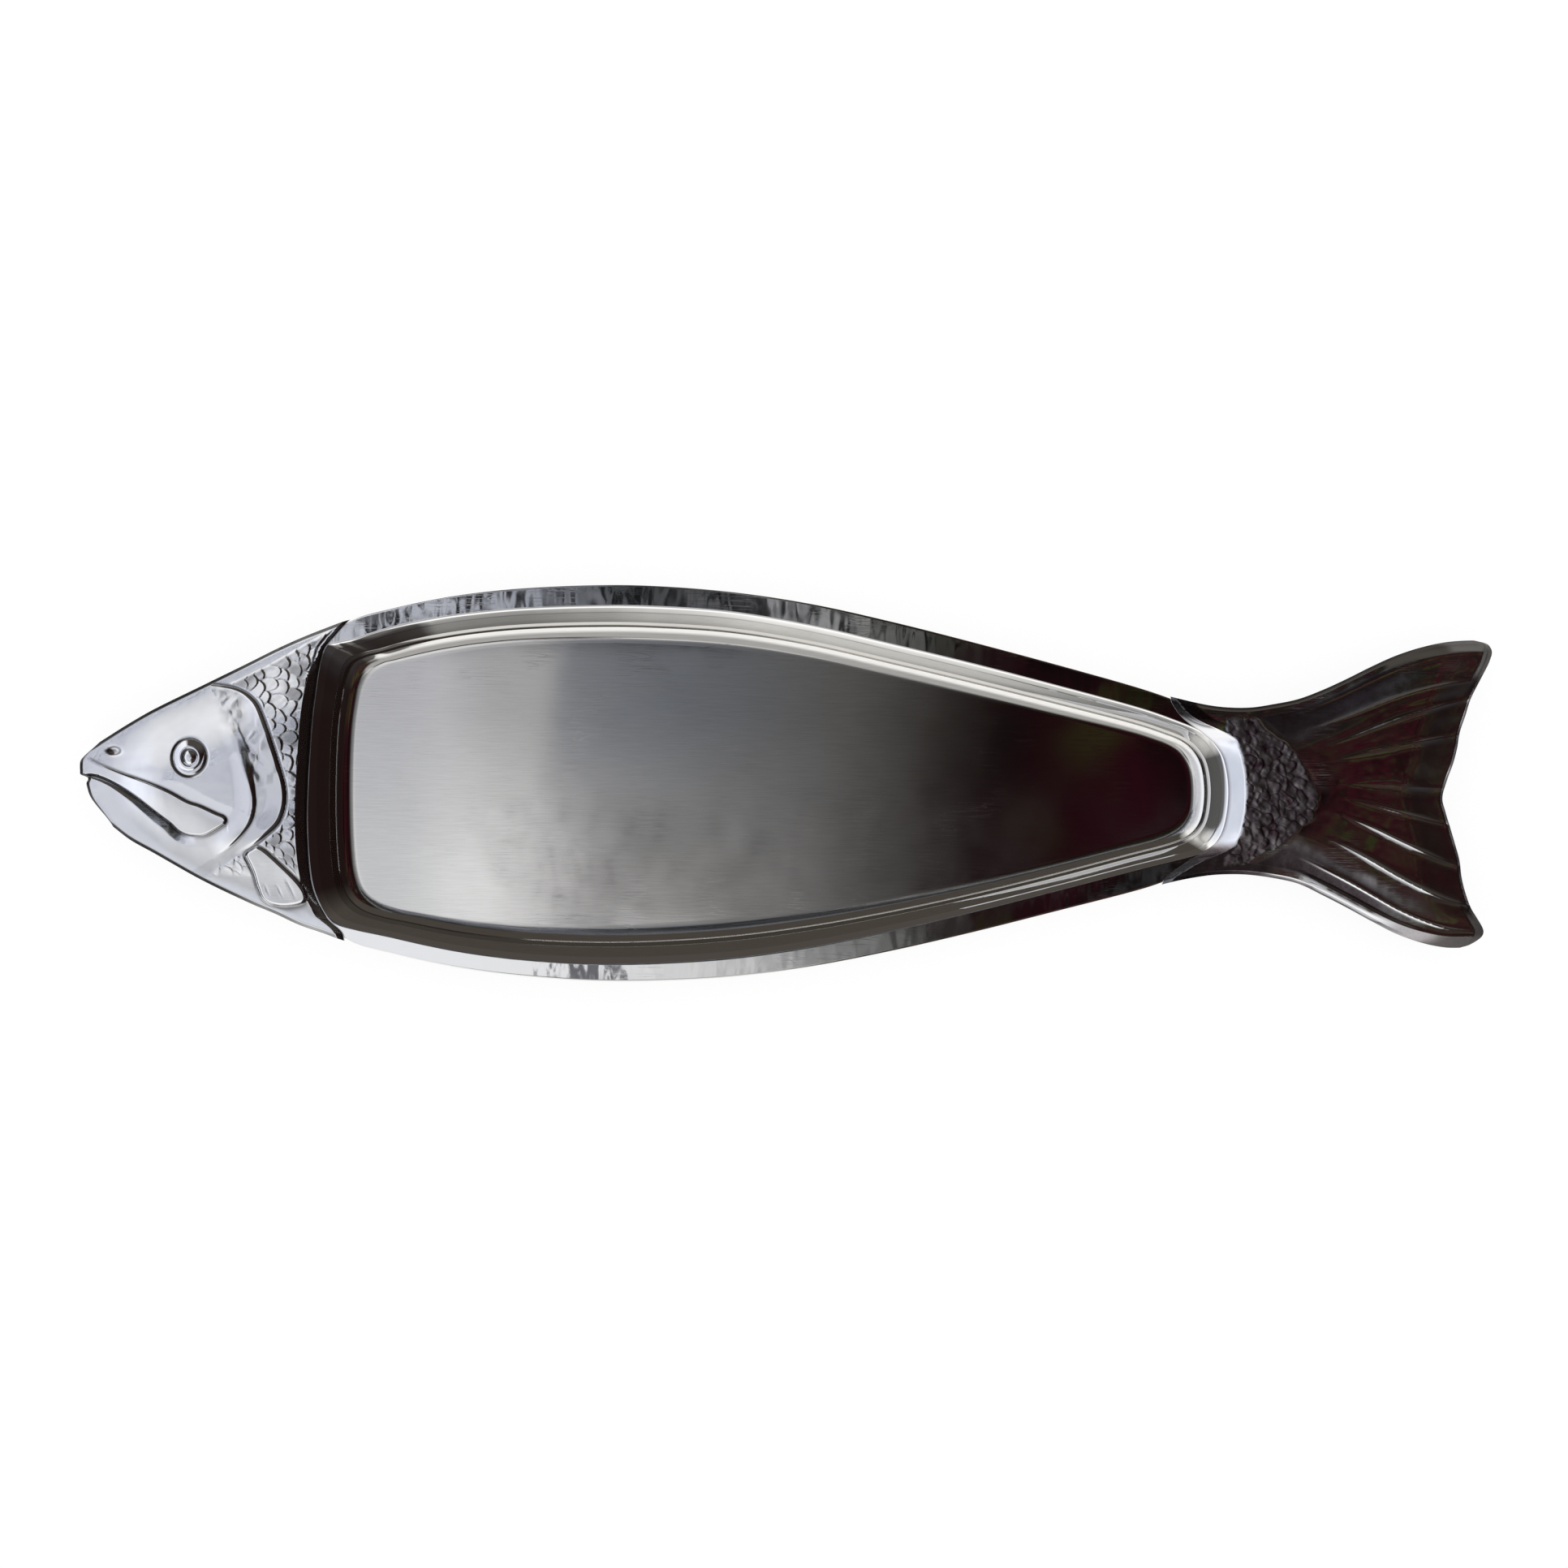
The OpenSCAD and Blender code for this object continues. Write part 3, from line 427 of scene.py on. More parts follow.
def add_piece(name, points, faces, material, nodes, marks):
    """One smooth mesh that rides on the root, with a value for each point under each mark."""
    mesh = bpy.data.meshes.new(name)
    mesh.from_pydata(points, [], faces)
    mesh.validate()
    mesh.shade_smooth()
    mesh.set_sharp_from_angle(angle=np.radians(SHARP_ANGLE))
    for mark, values in marks.items():
        layer = mesh.attributes.new(mark, "FLOAT", "POINT")
        layer.data.foreach_set("value", np.ascontiguousarray(values, np.float32))
    mesh.materials.append(material)
    piece = bpy.data.objects.new(name, mesh)
    bpy.context.scene.collection.objects.link(piece)
    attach(piece, "root")
    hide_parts(*nodes)
    return piece


def ring_faces(first, rings, n):
    """Quads between rings of n points each, which start at point first."""
    k = np.arange(n)
    nxt = (k + 1) % n
    starts = first + n * np.arange(rings - 1)[:, None]
    quads = np.stack([starts + k, starts + nxt, starts + n + nxt, starts + n + k], axis=-1)
    return quads.reshape(-1, 4)


def fan_faces(ring, tip):
    """Triangles from a ring of points to one point in its middle."""
    return np.stack([ring, np.roll(ring, -1), np.full(len(ring), tip)], axis=-1)


def lathe(profile, at, steps, narrowing=1.0):
    """Points and faces of a closed round shape: a profile of radius and height from its lower
    to its upper middle, turned about a line along Z through at."""
    turn = 2 * np.pi * np.arange(steps) / steps
    r = profile[1:-1, 0][:, None]
    z = np.broadcast_to(profile[1:-1, 1][:, None], (len(r), steps))
    x, y = r * np.cos(turn) * narrowing, r * np.sin(turn)
    points = np.stack([x, y, z], axis=-1).reshape(-1, 3)
    ends = [[0, 0, profile[0, 1]], [0, 0, profile[-1, 1]]]
    n = len(points)
    last = np.arange(n - steps, n)
    faces = (ring_faces(0, len(r), steps).tolist() + fan_faces(np.arange(steps)[::-1], n).tolist()
             + fan_faces(last, n + 1).tolist())
    return np.vstack([points, ends]) + np.array(at), faces


def joined(shells):
    """Points, faces and marks of several closed shells as one mesh."""
    points, faces, marks = [], [], {}
    first = 0
    for shell_points, shell_faces, shell_marks in shells:
        points.append(shell_points)
        faces += [[first + i for i in face] for face in shell_faces]
        for mark, values in shell_marks.items():
            marks.setdefault(mark, []).append(np.broadcast_to(values, len(shell_points)))
        first += len(shell_points)
    return np.vstack(points), faces, {mark: np.concatenate(v) for mark, v in marks.items()}


# Tray

EDGE_STEPS = 18
FILLET_STEPS = 6
UNDER_STEPS = 5
EDGE_R = 0.42 * MM
FLAT_ROW = 0.15 * MM
LIP_RINGS = 7
MIRROR_ROWS = 8
RIM_RINGS = (0.35, 0.65, 0.9)
UNDER_RINGS = (0.35, 0.7)
FLOOR_RINGS = (0.985, 0.96, 0.9, 0.75, 0.5, 0.25)


def flange_point(well_x, length, share, outwards):
    """Point of a flange's edge: a share of the casting's length out from the well's edge, and a
    share of the outline's width there."""
    x = well_x + outwards * share[0] * length
    return [x, side_y(x, share[1])]


def tray_edge():
    """Outer edge of the tray, point for point with the well's edge: the fish's outline beside
    the well, and the flanges under the castings at its ends."""
    well = np.array(WELL_EDGE_SHARES) * [WELL_L, WELL_W] + [WELL_X, 0]
    n, head = len(well), len(HEAD_FLANGE_SHARES)
    last_tail = FIRST_TAIL + len(TAIL_FLANGE_SHARES) - 1
    edge = []
    for i, (x, _) in enumerate(well):
        if i < head:
            edge.append(flange_point(HEAD_WELL_X, HEAD_L, HEAD_FLANGE_SHARES[i], -1))
        elif i < FIRST_TAIL:
            edge.append([x, back_y(x)])
        elif i <= last_tail:
            edge.append(flange_point(TAIL_WELL_X, TAIL_L, TAIL_FLANGE_SHARES[i - FIRST_TAIL], 1))
        elif i <= n - head:
            edge.append([x, belly_y(x)])
        else:
            along, share = HEAD_FLANGE_SHARES[n - i]
            edge.append(flange_point(HEAD_WELL_X, HEAD_L, [along, -share], -1))
    return np.array(edge, float)


def wall_sides():
    """Wall's section on its top face and under the sheet, as way in from the rim and height.
    The lower line lies one sheet below the upper one, with its own corners."""
    shares = np.array(WALL_SHARES)
    top = np.stack([shares[:, 0] * WALL_RUN, RIM_Z - shares[:, 1] * WELL_DEPTH], axis=1)
    ways = np.diff(top, axis=0)
    ways /= np.linalg.norm(ways, axis=1)[:, None]
    level = [[1.0, 0.0]]
    mean = np.vstack([level, ways]) + np.vstack([ways, level])
    mean /= np.linalg.norm(mean, axis=1)[:, None]
    under = top + SHEET * np.stack([mean[:, 1], -mean[:, 0]], axis=1)
    reach = shares[:, 2] * WALL_RUN
    first = [-reach[0] - FLAT_ROW, RIM_Z]
    last = [WALL_RUN + reach[-1] + FLAT_ROW, SHEET]
    corners = np.vstack([[first], top, [last]])
    return filleted(corners, reach, FILLET_STEPS), filleted(under, reach[1:-1], UNDER_STEPS)


def make_tray(material):
    """Sheet tray: rings on the fish's outline, from the floor up the wall's section and over the
    rim, and back under the sheet. The rim and the upper wall are a mirror, the rest is satin."""
    well = np.array(WELL_EDGE_SHARES) * [WELL_L, WELL_W] + [WELL_X, 0]
    floor = np.array(FLOOR_EDGE_SHARES) * [FLOOR_L, FLOOR_W] + [WELL_X, 0]
    rim, edge, bottom = (closed_curve(p, EDGE_STEPS) for p in (tray_edge(), well, floor))
    inwards = (edge - rim) / np.linalg.norm(edge - rim, axis=1)[:, None]
    rim = rim + inwards * EDGE_CLEAR
    middle = np.array([WELL_X, 0])
    top, under = wall_sides()

    def level(p, z):
        """Ring of points in plan, all at one height."""
        return np.column_stack([p, np.full(len(p), z)])

    def wall_ring(q):
        """Ring from the rim's edge towards the floor's, by a point of the wall's section."""
        return level(lerp(edge, bottom, q[0] / WALL_RUN), q[1])

    def floor_ring(share, z):
        """Ring at a share of the way out from the middle to the floor's edge."""
        return level(lerp(middle, bottom, share), z)

    turn = np.radians(np.linspace(90, -90, LIP_RINGS))
    lip = [level(rim + inwards * EDGE_R * (1 - np.cos(a)),
                 RIM_Z - SHEET / 2 + (SHEET / 2) * np.sin(a)) for a in turn]
    rings = ([floor_ring(s, SHEET) for s in FLOOR_RINGS[::-1]]
             + [wall_ring(q) for q in top[::-1]]
             + [level(lerp(edge, rim, s), RIM_Z) for s in RIM_RINGS]
             + lip + [level(lerp(rim, edge, s), RIM_Z - SHEET) for s in UNDER_RINGS]
             + [wall_ring(q) for q in under]
             + [floor_ring(s, 0) for s in FLOOR_RINGS])
    n = len(rim)
    points = np.vstack(rings + [[[*middle, SHEET], [*middle, 0]]])
    tip = n * len(rings)
    last = np.arange(tip - n, tip)
    faces = ring_faces(0, len(rings), n).tolist()
    faces += fan_faces(np.arange(n), tip)[:, ::-1].tolist()
    faces += fan_faces(last[::-1], tip + 1)[:, ::-1].tolist()
    satin = np.ones(len(rings))
    brink = len(FLOOR_RINGS) + len(top)
    satin[brink - MIRROR_ROWS:brink + len(RIM_RINGS) + LIP_RINGS] = 0
    marks = {"satin": np.append(np.repeat(satin, n), [1, 1])}
    return add_piece("tray_sheet", points, faces, material, ["tray"], marks)


# Castings

# Grid of a casting: the shares at which its edges or its slope end, and the counts of its rows
SIDE_STOPS = (0, 0.014, 0.986, 1)
SIDE_COUNTS = (8, 326, 8)
TIP_STOP = 0.985
ALONG_COUNTS = (22, 208, 9)


def spaced(stops, counts):
    """Shares from the first of four stops to the last, evenly spaced between each two."""
    first, middle, last = (np.linspace(*k) for k in zip(stops, stops[1:], counts))
    return np.concatenate([first, middle[1:-1], last])


def chamfer(side, tip):
    """Height lost to the chamfer along the sides and the far edge."""
    side_loss = SIDE_SLOPE * np.maximum(0, EDGE_W - side)
    return np.maximum(side_loss, TIP_SLOPE * np.maximum(0, EDGE_W - tip))


class Casting:
    """Patch between two end lines and the fish's two sides. A point's share across runs from the
    belly to the back, and its share along from the well to the far edge. Start and stop give the
    end lines' places, ends is the table of the first, and spread is a share of the slope's run."""

    def __init__(self, start, stop, ends, edge_h, crown_h, crown_run, foot_w, slope_run, spread):
        self.start, self.stop, self.ends = start, stop, ends
        self.edge_h, self.crown_h = edge_h, crown_h
        self.crown_run, self.foot_w = crown_run, foot_w
        self.slope_run, self.spread = slope_run, spread

    def spot(self, s, v):
        """Place of a point: a share of the way between the end lines and between the sides."""
        x = lerp(self.start(v), self.stop(v), s)
        return x, lerp(belly_y(x), back_y(x), v)

    def sides(self, x, v):
        """Ways in from the belly's side, the back's side and the far edge."""
        w = (back_y(x) - belly_y(x)) * COS_FLANK
        return w * v, w * (1 - v), np.abs(x - self.stop(v))

    def lean(self, x, v):
        """Share by which the start line's slant shortens the way across it."""
        a, b = np.clip(v - SLANT_STEP, 0, 1), np.clip(v + SLANT_STEP, 0, 1)
        climb = curve_at(self.ends, b) - curve_at(self.ends, a)
        slant = climb / ((b - a) * (back_y(x) - belly_y(x)))
        return 1 / np.sqrt(1 + slant * slant)

    def slope_way(self, x, v):
        """Way in from the start line, measured square to it."""
        return np.abs(x - self.start(v)) * self.lean(x, v)

    def dome(self, x, v):
        """Height over the rim: the edge's height and a crown that rises from both sides and the
        far edge, less the bevel at the edge, and a slope down to the foot at the well."""
        low, high, tip = self.sides(x, v)
        swell = 1
        for way in (low, high, tip):
            share = (way - EDGE_W) / self.crown_run
            swell = swell * lerp(crown(share), ease(share), CROWN_EASE)
        body = self.edge_h + self.crown_h * swell - chamfer(np.minimum(low, high), tip)
        t = (self.slope_way(x, v) - self.foot_w) / (self.slope_run * self.spread(v))
        return lerp(FOOT_H, body, lerp(np.clip(t, 0, 1), ease(t), SLOPE_ROUNDING))

    def hollow(self, s, v):
        """Point of the hollow's roof for shares of its own length and width."""
        a, b = self.start(v), self.stop(v)
        length = np.abs(b - a)
        x = lerp(a, b, lerp((self.slope_run + LAND_W) / length, 1 - 2 * LAND_W / length, s))
        land = LAND_W / ((back_y(x) - belly_y(x)) * COS_FLANK)
        w = lerp(land, 1 - land, v)
        roof = np.maximum(FOOT_H, self.dome(x, w) - CAST_WALL)
        return np.stack([x, lerp(belly_y(x), back_y(x), w), RIM_Z + roof], axis=-1)


def head_spread(v):
    """Share of the slope's run at the head, steeper where its end line turns to the sides."""
    return lerp(1, 0.3, np.maximum(rise(v, 0.84, 0.08), rise(v, 0.12, -0.1) * 0.5))


def tail_spread(v):
    """The same at the tail, equal towards both of its sides."""
    return lerp(1, 0.45, rise(np.abs(v - 0.51), 0.27, 0.17))


HEAD = Casting(
    lambda v: HEAD_WELL_X + curve_at(HEAD_END, v),
    lambda v: np.maximum(0, curve_at(SNOUT, v)) - LENGTH / 2,
    HEAD_END, HEAD_EDGE_H, HEAD_CROWN_H, HEAD_CROWN_RUN, FOOT_W, HEAD_SLOPE_RUN, head_spread)
TAIL = Casting(
    lambda v: TAIL_WELL_X - curve_at(TAIL_END, v),
    lambda v: LENGTH / 2 - np.maximum(EDGE_CLEAR, curve_at(FORK, v)),
    TAIL_END, TAIL_EDGE_H, TAIL_CROWN_H, TAIL_CROWN_RUN, 0, TAIL_SLOPE_RUN, tail_spread)


def on_head(shares):
    """Table of shares as places on the head: along from the snout's tip, and across from the
    middle."""
    return scaled(shares, HEAD_L, BODY_W) - [LENGTH / 2, 0]


def from_spot(share, x, y):
    """Ways along and across from a spot of the head."""
    spot_x, spot_y = on_head([share])[0]
    return x - spot_x, y - spot_y


# Scales: outline as a share of their width, stretch along, and shares by which they vary
SCALE_R = 0.62
SCALE_STRETCH = 1.1
SCALE_SLIP = (0.26, 0.18)
SCALE_GROWTH = 0.2
SCALE_LEAN = 0.16
SCALE_LIFT = 0.12
SCALE_BROW = 0.16
SCALE_BORDER = 0.2
SCALE_TABLE = 128


def scales(x, y, pitch, width, depth, seed):
    """Height of overlapping scales whose round free ends point along +X, a random tone from 0 to
    1 for each, and the share of its border. Rows lie a pitch apart, every second row half a width
    over. A point belongs to the foremost scale whose outline holds it. A scale rises towards its
    free end and leans a little to one side."""
    rng = np.random.default_rng(seed)
    slip_x, slip_y, growth, lean, lift = rng.uniform(-1, 1, (5, SCALE_TABLE, SCALE_TABLE))
    row0 = np.floor(x / pitch).astype(int)
    height, tone, border = np.zeros(x.shape), np.zeros(x.shape), np.ones(x.shape)
    taken = np.zeros(x.shape, bool)
    for back in (2, 1, 0, -1):
        row = row0 - back
        offset = (row % 2) * 0.5
        col = np.round(y / width - offset).astype(int)
        for side in (-1, 0, 1):
            at = row % SCALE_TABLE, (col + side) % SCALE_TABLE
            cx = (row + 0.5) * pitch + slip_x[at] * pitch * SCALE_SLIP[0]
            cy = (col + side + offset) * width + slip_y[at] * width * SCALE_SLIP[1]
            size = width * SCALE_R * (1 + SCALE_GROWTH * growth[at])
            dx, dy = (x - cx) / (size * SCALE_STRETCH), (y - cy) / size
            off = np.hypot(dx, dy)
            fresh = (off < 1) & ~taken
            body = 0.3 + 0.6 * np.clip((dx + 1) / 2, 0, 1) ** 2
            body = body + SCALE_LEAN * lean[at] * dy + SCALE_LIFT * lift[at]
            cap = lerp(0.25, body, ease((1 - off) / SCALE_BROW))
            height = np.where(fresh, cap, height)
            tone = np.where(fresh, 0.5 + 0.5 * lift[at], tone)
            border = np.where(fresh, 1 - ease((1 - off) / SCALE_BORDER), border)
            taken |= fresh
    return depth * height, tone, border


def line_shade(gap, width):
    """Share of the painted shade along an engraved line, by the distance from its middle."""
    return np.exp(-(gap / width) ** 2)


def gill_cover(x, y):
    """Height and painted shade of the gill cover, and the way out from its rear line. The skin
    stands highest just before the line and falls off over the gill's run, and the step behind the
    line runs out at both of its ends. The rear line is painted dark as shade."""
    gap, along = gap_to(open_curve(on_head(GILL_SHARES)), x, y)
    size = lerp(0.12, 1, rise(along, 0.12, 0.2)) * rise(along, 0, 0.1) * rise(along, 1, -0.14)
    relief = GILL_STEP_H * size * rise_mm(gap, 0, -2.1) * rise(gap, -GILL_RUN, GILL_RUN)
    line = rise(along, 0, 0.04) * rise(along, 1, -0.1)
    relief -= ENGRAVED_DEPTH * line * line_shade(gap, 0.6 * MM)
    # Painted shade: the rear line is painted dark.
    return relief, 0.95 * line * line_shade(gap - 0.4 * MM, 0.75 * MM), gap


def cheek_fold(x, y):
    """Height and painted shade of the fold before the gill cover, and the way out from it. The fold
    is wide and soft above, and narrow and crisp below. Its crisp line and a wider band beside it are
    painted dark as shade."""
    gap, along = gap_to(open_curve(on_head(CHEEK_SHARES)), x, y)
    lower = rise(along, 0.25, 0.3)
    size = CHEEK_STEP_H * lerp(0.6, 1.1, lower) * rise(along, 0, 0.12) * rise(along, 1, -0.18)
    soft = lerp(7, 1.2, lower) * MM
    relief = size * ease(0.2 - gap / soft) * ease(1.2 - np.abs(gap) / CHEEK_RUN)
    line = rise(along, 0.5, 0.14) * rise(along, 1, -0.25) * line_shade(gap - 0.3 * MM, 0.55 * MM)
    shade = rise(along, 0.12, 0.2) * rise(along, 0.6, -0.2) * line_shade(gap - 0.6 * MM, 1.8 * MM)
    # Painted shade on the crisp line and on a wider band beside it.
    return relief, np.maximum(0.85 * line, 0.3 * shade), gap


def mouth(x, y, share):
    """Height and painted shade of the mouth. The upper lip is a raised plate, and below its lower
    line a groove falls away, which grows wide and then shallow towards the cheek. The lip's lines
    are painted dark as shade."""
    top_line, low_line = (open_curve(on_head(p)) for p in (LIP_TOP_SHARES, LIP_LOW_SHARES))
    lip = inside(np.vstack([top_line, low_line[1:], top_line[:1]]), x, y)
    gap, _ = gap_to(low_line, x, y)
    plate = LIP_H * rise(share, 0.02, 0.3) * rise_mm(lip, 0, 1.3)
    groove_w = lerp(1.8, 5, rise(share, 0.03, 0.42)) * MM
    depth = MOUTH_DEPTH * rise(share, 0.005, 0.06) * lerp(1, 0.12, rise(share, 0.45, 0.07))
    fall = (1 - np.clip(gap / groove_w, 0, 1)) ** 1.1
    fall = np.where((gap > 0) & (share < 0.66), fall, 0)
    groove = depth * np.where(lip > 0, 1 - rise_mm(np.abs(gap), 0, 0.9), fall)
    top_gap, along = gap_to(top_line, x, y)
    # Painted shade along the lip's upper and lower lines.
    dark = lerp(0.6, 1, rise(along, 0, 0.5)) * rise(along, 0, 0.05) * line_shade(top_gap, 0.75 * MM)
    line = rise(share, 0.01, 0.05) * lerp(1, 0.35, rise(share, 0.43, 0.08)) * (share < 0.68)
    line_w = lerp(0.7, 1.2, rise(share, 0.1, 0.3)) * MM
    return plate - groove, np.maximum(dark, line * line_shade(gap - 0.3 * MM, line_w))


def nostril(x, y):
    """Height and painted shade of the nostril: an oval pit with a painted dark ring."""
    pit = sum((way / half) ** 2 for way, half in zip(from_spot(NOSTRIL_SHARE, x, y), NOSTRIL_HALF))
    return -NOSTRIL_DEPTH * np.exp(-pit), 0.8 * line_shade(pit - 1.1, 0.6) * (pit > 0.3)


def head_scales(x, y, v, share, gill, fin):
    """Height and painted shade of the scales behind the gill cover and in a patch of the breast.
    They lie on wavy rows, end before the fin and the back's edge, and are painted darker towards the
    well. The paint is gray mottling, darker borders and dark blotches, a painted shade for their
    dim reflections."""
    plain = lerp(5.2, 1.5, rise(share, 0.8, 0.35)) * MM
    from_back = (1 - v) * (back_y(x) - belly_y(x)) * COS_FLANK
    scaly = rise_mm(gill, 0.6, 1.2) * rise(from_back, plain, 1.5 * MM) * rise_mm(fin, 0.2, -1.4)
    scaly = scaly * rise(y, -0.25 * BODY_W, 6 * MM)
    patch = ease(1.7 - 1.2 * np.hypot(*from_spot(BREAST_SHARE, x, y)) / BREAST_R)
    patch = patch * rise_mm(fin, -0.3, -1.2) * rise_mm(gill, 0, -2)
    wx, wy = (way + 1.6 * MM * lumps(x, y, 8 * MM, seed) for way, seed in ((x, 3), (y, 4)))
    scale, tone, border = scales(wx, wy, HEAD_SCALE_PITCH, HEAD_SCALE_W, HEAD_SCALE_H, 5)
    scale += WAVE_H * lumps(x, y, 2 * MM, 6)
    # Painted shade: gray mottling, darker borders and dark blotches towards the well.
    shady = rise(lumps(x, y, 9 * MM, 41) + tone, 0.5, 0.9)
    shady = np.maximum(0.14 + 0.5 * shady, border * (0.45 + 0.3 * tone))
    near = rise_mm(HEAD.slope_way(x, v), 13, -8)
    blotch = rise(lumps(x, y, 3.2 * MM, 44), -0.1, 0.5)
    dark = np.maximum(shady * np.maximum(scaly, 0.6 * patch), 0.7 * near * blotch * scaly)
    return scale * np.maximum(scaly, 0.7 * patch), dark


def ruffles(x, y, gill, cheek):
    """Height and painted shade of the ruffled skin between the cheek and the gill cover, and on the
    temple: stretched noise, stronger towards the back. Its dark swirls and the temple's gray patch
    are painted shade."""
    between = rise_mm(cheek, 0, 1.5) * rise_mm(gill, -1.6, -1.5)
    upper = rise_mm(y, -12, 20)
    swirl = lumps(x + 3 * MM * lumps(x, y, 6 * MM, 8), y * 0.45, 2.4 * MM, 9)
    # Painted shade: dark swirls between the cheek and the gill cover, and a gray patch on the
    # temple.
    dark = between * (0.16 + 0.34 * upper * rise(swirl, 0.1, 0.5))
    dx, dy = from_spot(TEMPLE_SHARE, x, y)
    temple = ease(1.5 - np.hypot(dx / TEMPLE_HALF[0], dy / TEMPLE_HALF[1]))
    temple = temple * rise_mm(gill, -1, -1.5)
    relief = RUFFLE_H * swirl * between * upper
    relief += TEMPLE_H * temple * lumps(x, y * 0.5, 2 * MM, 15)
    return relief, np.maximum(dark, temple * 0.22 * (1 + lumps(x, y * 0.6, 1.6 * MM, 16)))


def breast_fin(x, y, fin):
    """Height and painted shade of the breast fin: a raised plate whose outline and rays are painted
    dark.
    """
    relief = FIN_STEP_H * rise_mm(fin, -0.2, 2)
    # Painted shade along the fin's outline and its rays.
    dark = lerp(0.45, 0.9, rise(y, -0.29 * BODY_W, 4 * MM)) * line_shade(fin + 0.3 * MM, 0.7 * MM)
    for ray in FIN_RAY_SHARES:
        gap, at = gap_to(on_head(ray), x, y)
        line = line_shade(gap, 0.7 * MM) * np.sin(np.pi * np.clip(at, 0.02, 0.98))
        relief -= RAY_DEPTH * line
        dark = np.maximum(dark, 0.5 * line)
    return relief, dark


def eye_socket(x, y):
    """Height and painted shade of the groove round the eye."""
    dx, dy = from_spot(EYE_SHARE, x, y)
    gap = np.hypot(dx / EYE_NARROWING, dy) - EYE_R - 0.2 * MM
    return -SOCKET_DEPTH * line_shade(gap, 0.8 * MM), 0.95 * line_shade(gap - 0.2 * MM, 0.7 * MM)


def head_relief(x, y, v):
    """Sum of the heights of the head's forms, and the greatest of their shares of painted shade."""
    share = (x + LENGTH / 2) / HEAD_L
    *gill_form, gill = gill_cover(x, y)
    *cheek_form, cheek = cheek_fold(x, y)
    fin = inside(open_curve(on_head(FIN_SHARES)), x, y)
    forms = [gill_form, cheek_form, mouth(x, y, share), nostril(x, y),
             head_scales(x, y, v, share, gill, fin), ruffles(x, y, gill, cheek),
             breast_fin(x, y, fin), eye_socket(x, y)]
    reliefs, darks = zip(*forms)
    return sum(reliefs), np.max(darks, axis=0)


def head_height(x, s, v):
    """Height over the rim, with the shares of wear and painted shade. The relief fades out at the
    sides and on the slope, and the outline is painted dark all round, a painted shade for the edge's
    dark reflection."""
    y = lerp(belly_y(x), back_y(x), v)
    low, high, tip = HEAD.sides(x, v)
    side, way = np.minimum(low, high), HEAD.slope_way(x, v)
    fade = rise_mm(side, 0, 2.4) * rise(way, HEAD_SLOPE_RUN * 0.6, 2 * MM)
    waves = WAVE_H * lumps(x, y, HEAD_WAVE_L, 12) * fade
    relief, dark = head_relief(x, y, v)
    # Painted shade: a dark band round the outline, where the steep edge mirrors dark surroundings.
    outline = rise_mm(np.minimum(side, tip), 2.2, -0.9)
    outline = outline * lerp(0.97, 0.35, rise((x + LENGTH / 2) / HEAD_L, 0.6, 0.3))
    dark = np.maximum(dark * rise(way, HEAD_SLOPE_RUN * 0.9, 2 * MM), outline)
    return HEAD.dome(x, v) + relief * fade + waves, {"worn": np.zeros(x.shape), "dark": dark}


def flutes(s, v):
    """Share of the flutes' depth, a hollow between each two ridges, and the place across them,
    which counts the ridges as they fan out from the root."""
    turn = np.clip((s - FAN_SHARE) / (1 - FAN_SHARE), -FAN_SHARE, 1)
    ridges = [lerp(a, b, turn) for a, b in RIDGE_SHARES]
    deep, place = np.zeros(v.shape), np.zeros(v.shape)
    for i, (a, b) in enumerate(zip(ridges[:-1], ridges[1:])):
        within = (v >= a) & (v < b)
        share = np.clip((v - a) / np.maximum(b - a, LEAST_FLUTE), 0, 1)
        narrow = np.clip((b - a) / FULL_FLUTE, 0.35, 1)
        deep = np.where(within, (1 - np.abs(share * 2 - 1) ** FLANK_BEND) * narrow, deep)
        place = np.where(within, i + share, place)
    return deep, place


def fluted(s, v, grown, deep, place):
    """Height of the flutes, shallow past the third ridge and towards the rear edge, with faint
    waves on those of the back's lobe."""
    depth = FLUTE_DEPTH * grown * deep * lerp(1, 0.4, rise(s, 0.86, 0.12))
    depth = depth * np.where(place >= FIRST_FAINT, 0.5, 1)
    return FLUTE_WAVE_H * grown * lumps(place * 3, s * 5, 1, 33) * rise(v, 0.47, 0.08) - depth


def bead(s, v, past, side):
    """Height of the bead along the belly's side, between the root and the lobe's tip."""
    size = rise_mm(past, 18, 14) * (1 - rise(s, 0.6, 0.25)) * (v < 0.5)
    return BEAD_H * size * ease(side / BEAD_FLANK) * rise(side, BEAD_W * 1.05, -1.5 * MM)


def root_scales(x, y, v, past, side):
    """Height, painted shade and share of the root's scales, which are worn to lumps and end in a
    ragged line, before the slope and before the tail's sides. The scales are painted dark, with a
    random tone, as painted shade for their dim reflections."""
    wx, wy = (way + 2 * MM * lumps(x, y, 5 * MM, seed) for way, seed in ((x, 21), (y, 22)))
    scale, tone, border = scales(
        wx - TAIL_WELL_X, wy, TAIL_SCALE_PITCH, TAIL_SCALE_W, TAIL_SCALE_H, 23)
    scale = 0.5 * scale + 0.16 * MM * lumps(x, y, 3.4 * MM, 26)
    scale += 0.1 * MM * lumps(x, y, 1.7 * MM, 24)
    ragged = past + 1.5 * MM * lumps(x, y, 4.5 * MM, 25)
    way = TAIL.slope_way(x, v) / TAIL.spread(v)
    scaly = rise_mm(ragged, 0.6, -0.8) * rise(x, TAIL_WELL_X - 2.4 * MM, 2 * MM)
    scaly = scaly * rise(way, TAIL_SLOPE_RUN, 1.4 * MM) * rise_mm(side, 2.5, 4)
    # Painted shade: the scaled root is painted dark, more so at random and on the borders.
    dark = scaly * (0.73 + 0.2 * tone + 0.15 * lumps(x, y, 2.6 * MM, 27) + 0.12 * border)
    return scale * scaly, dark, scaly


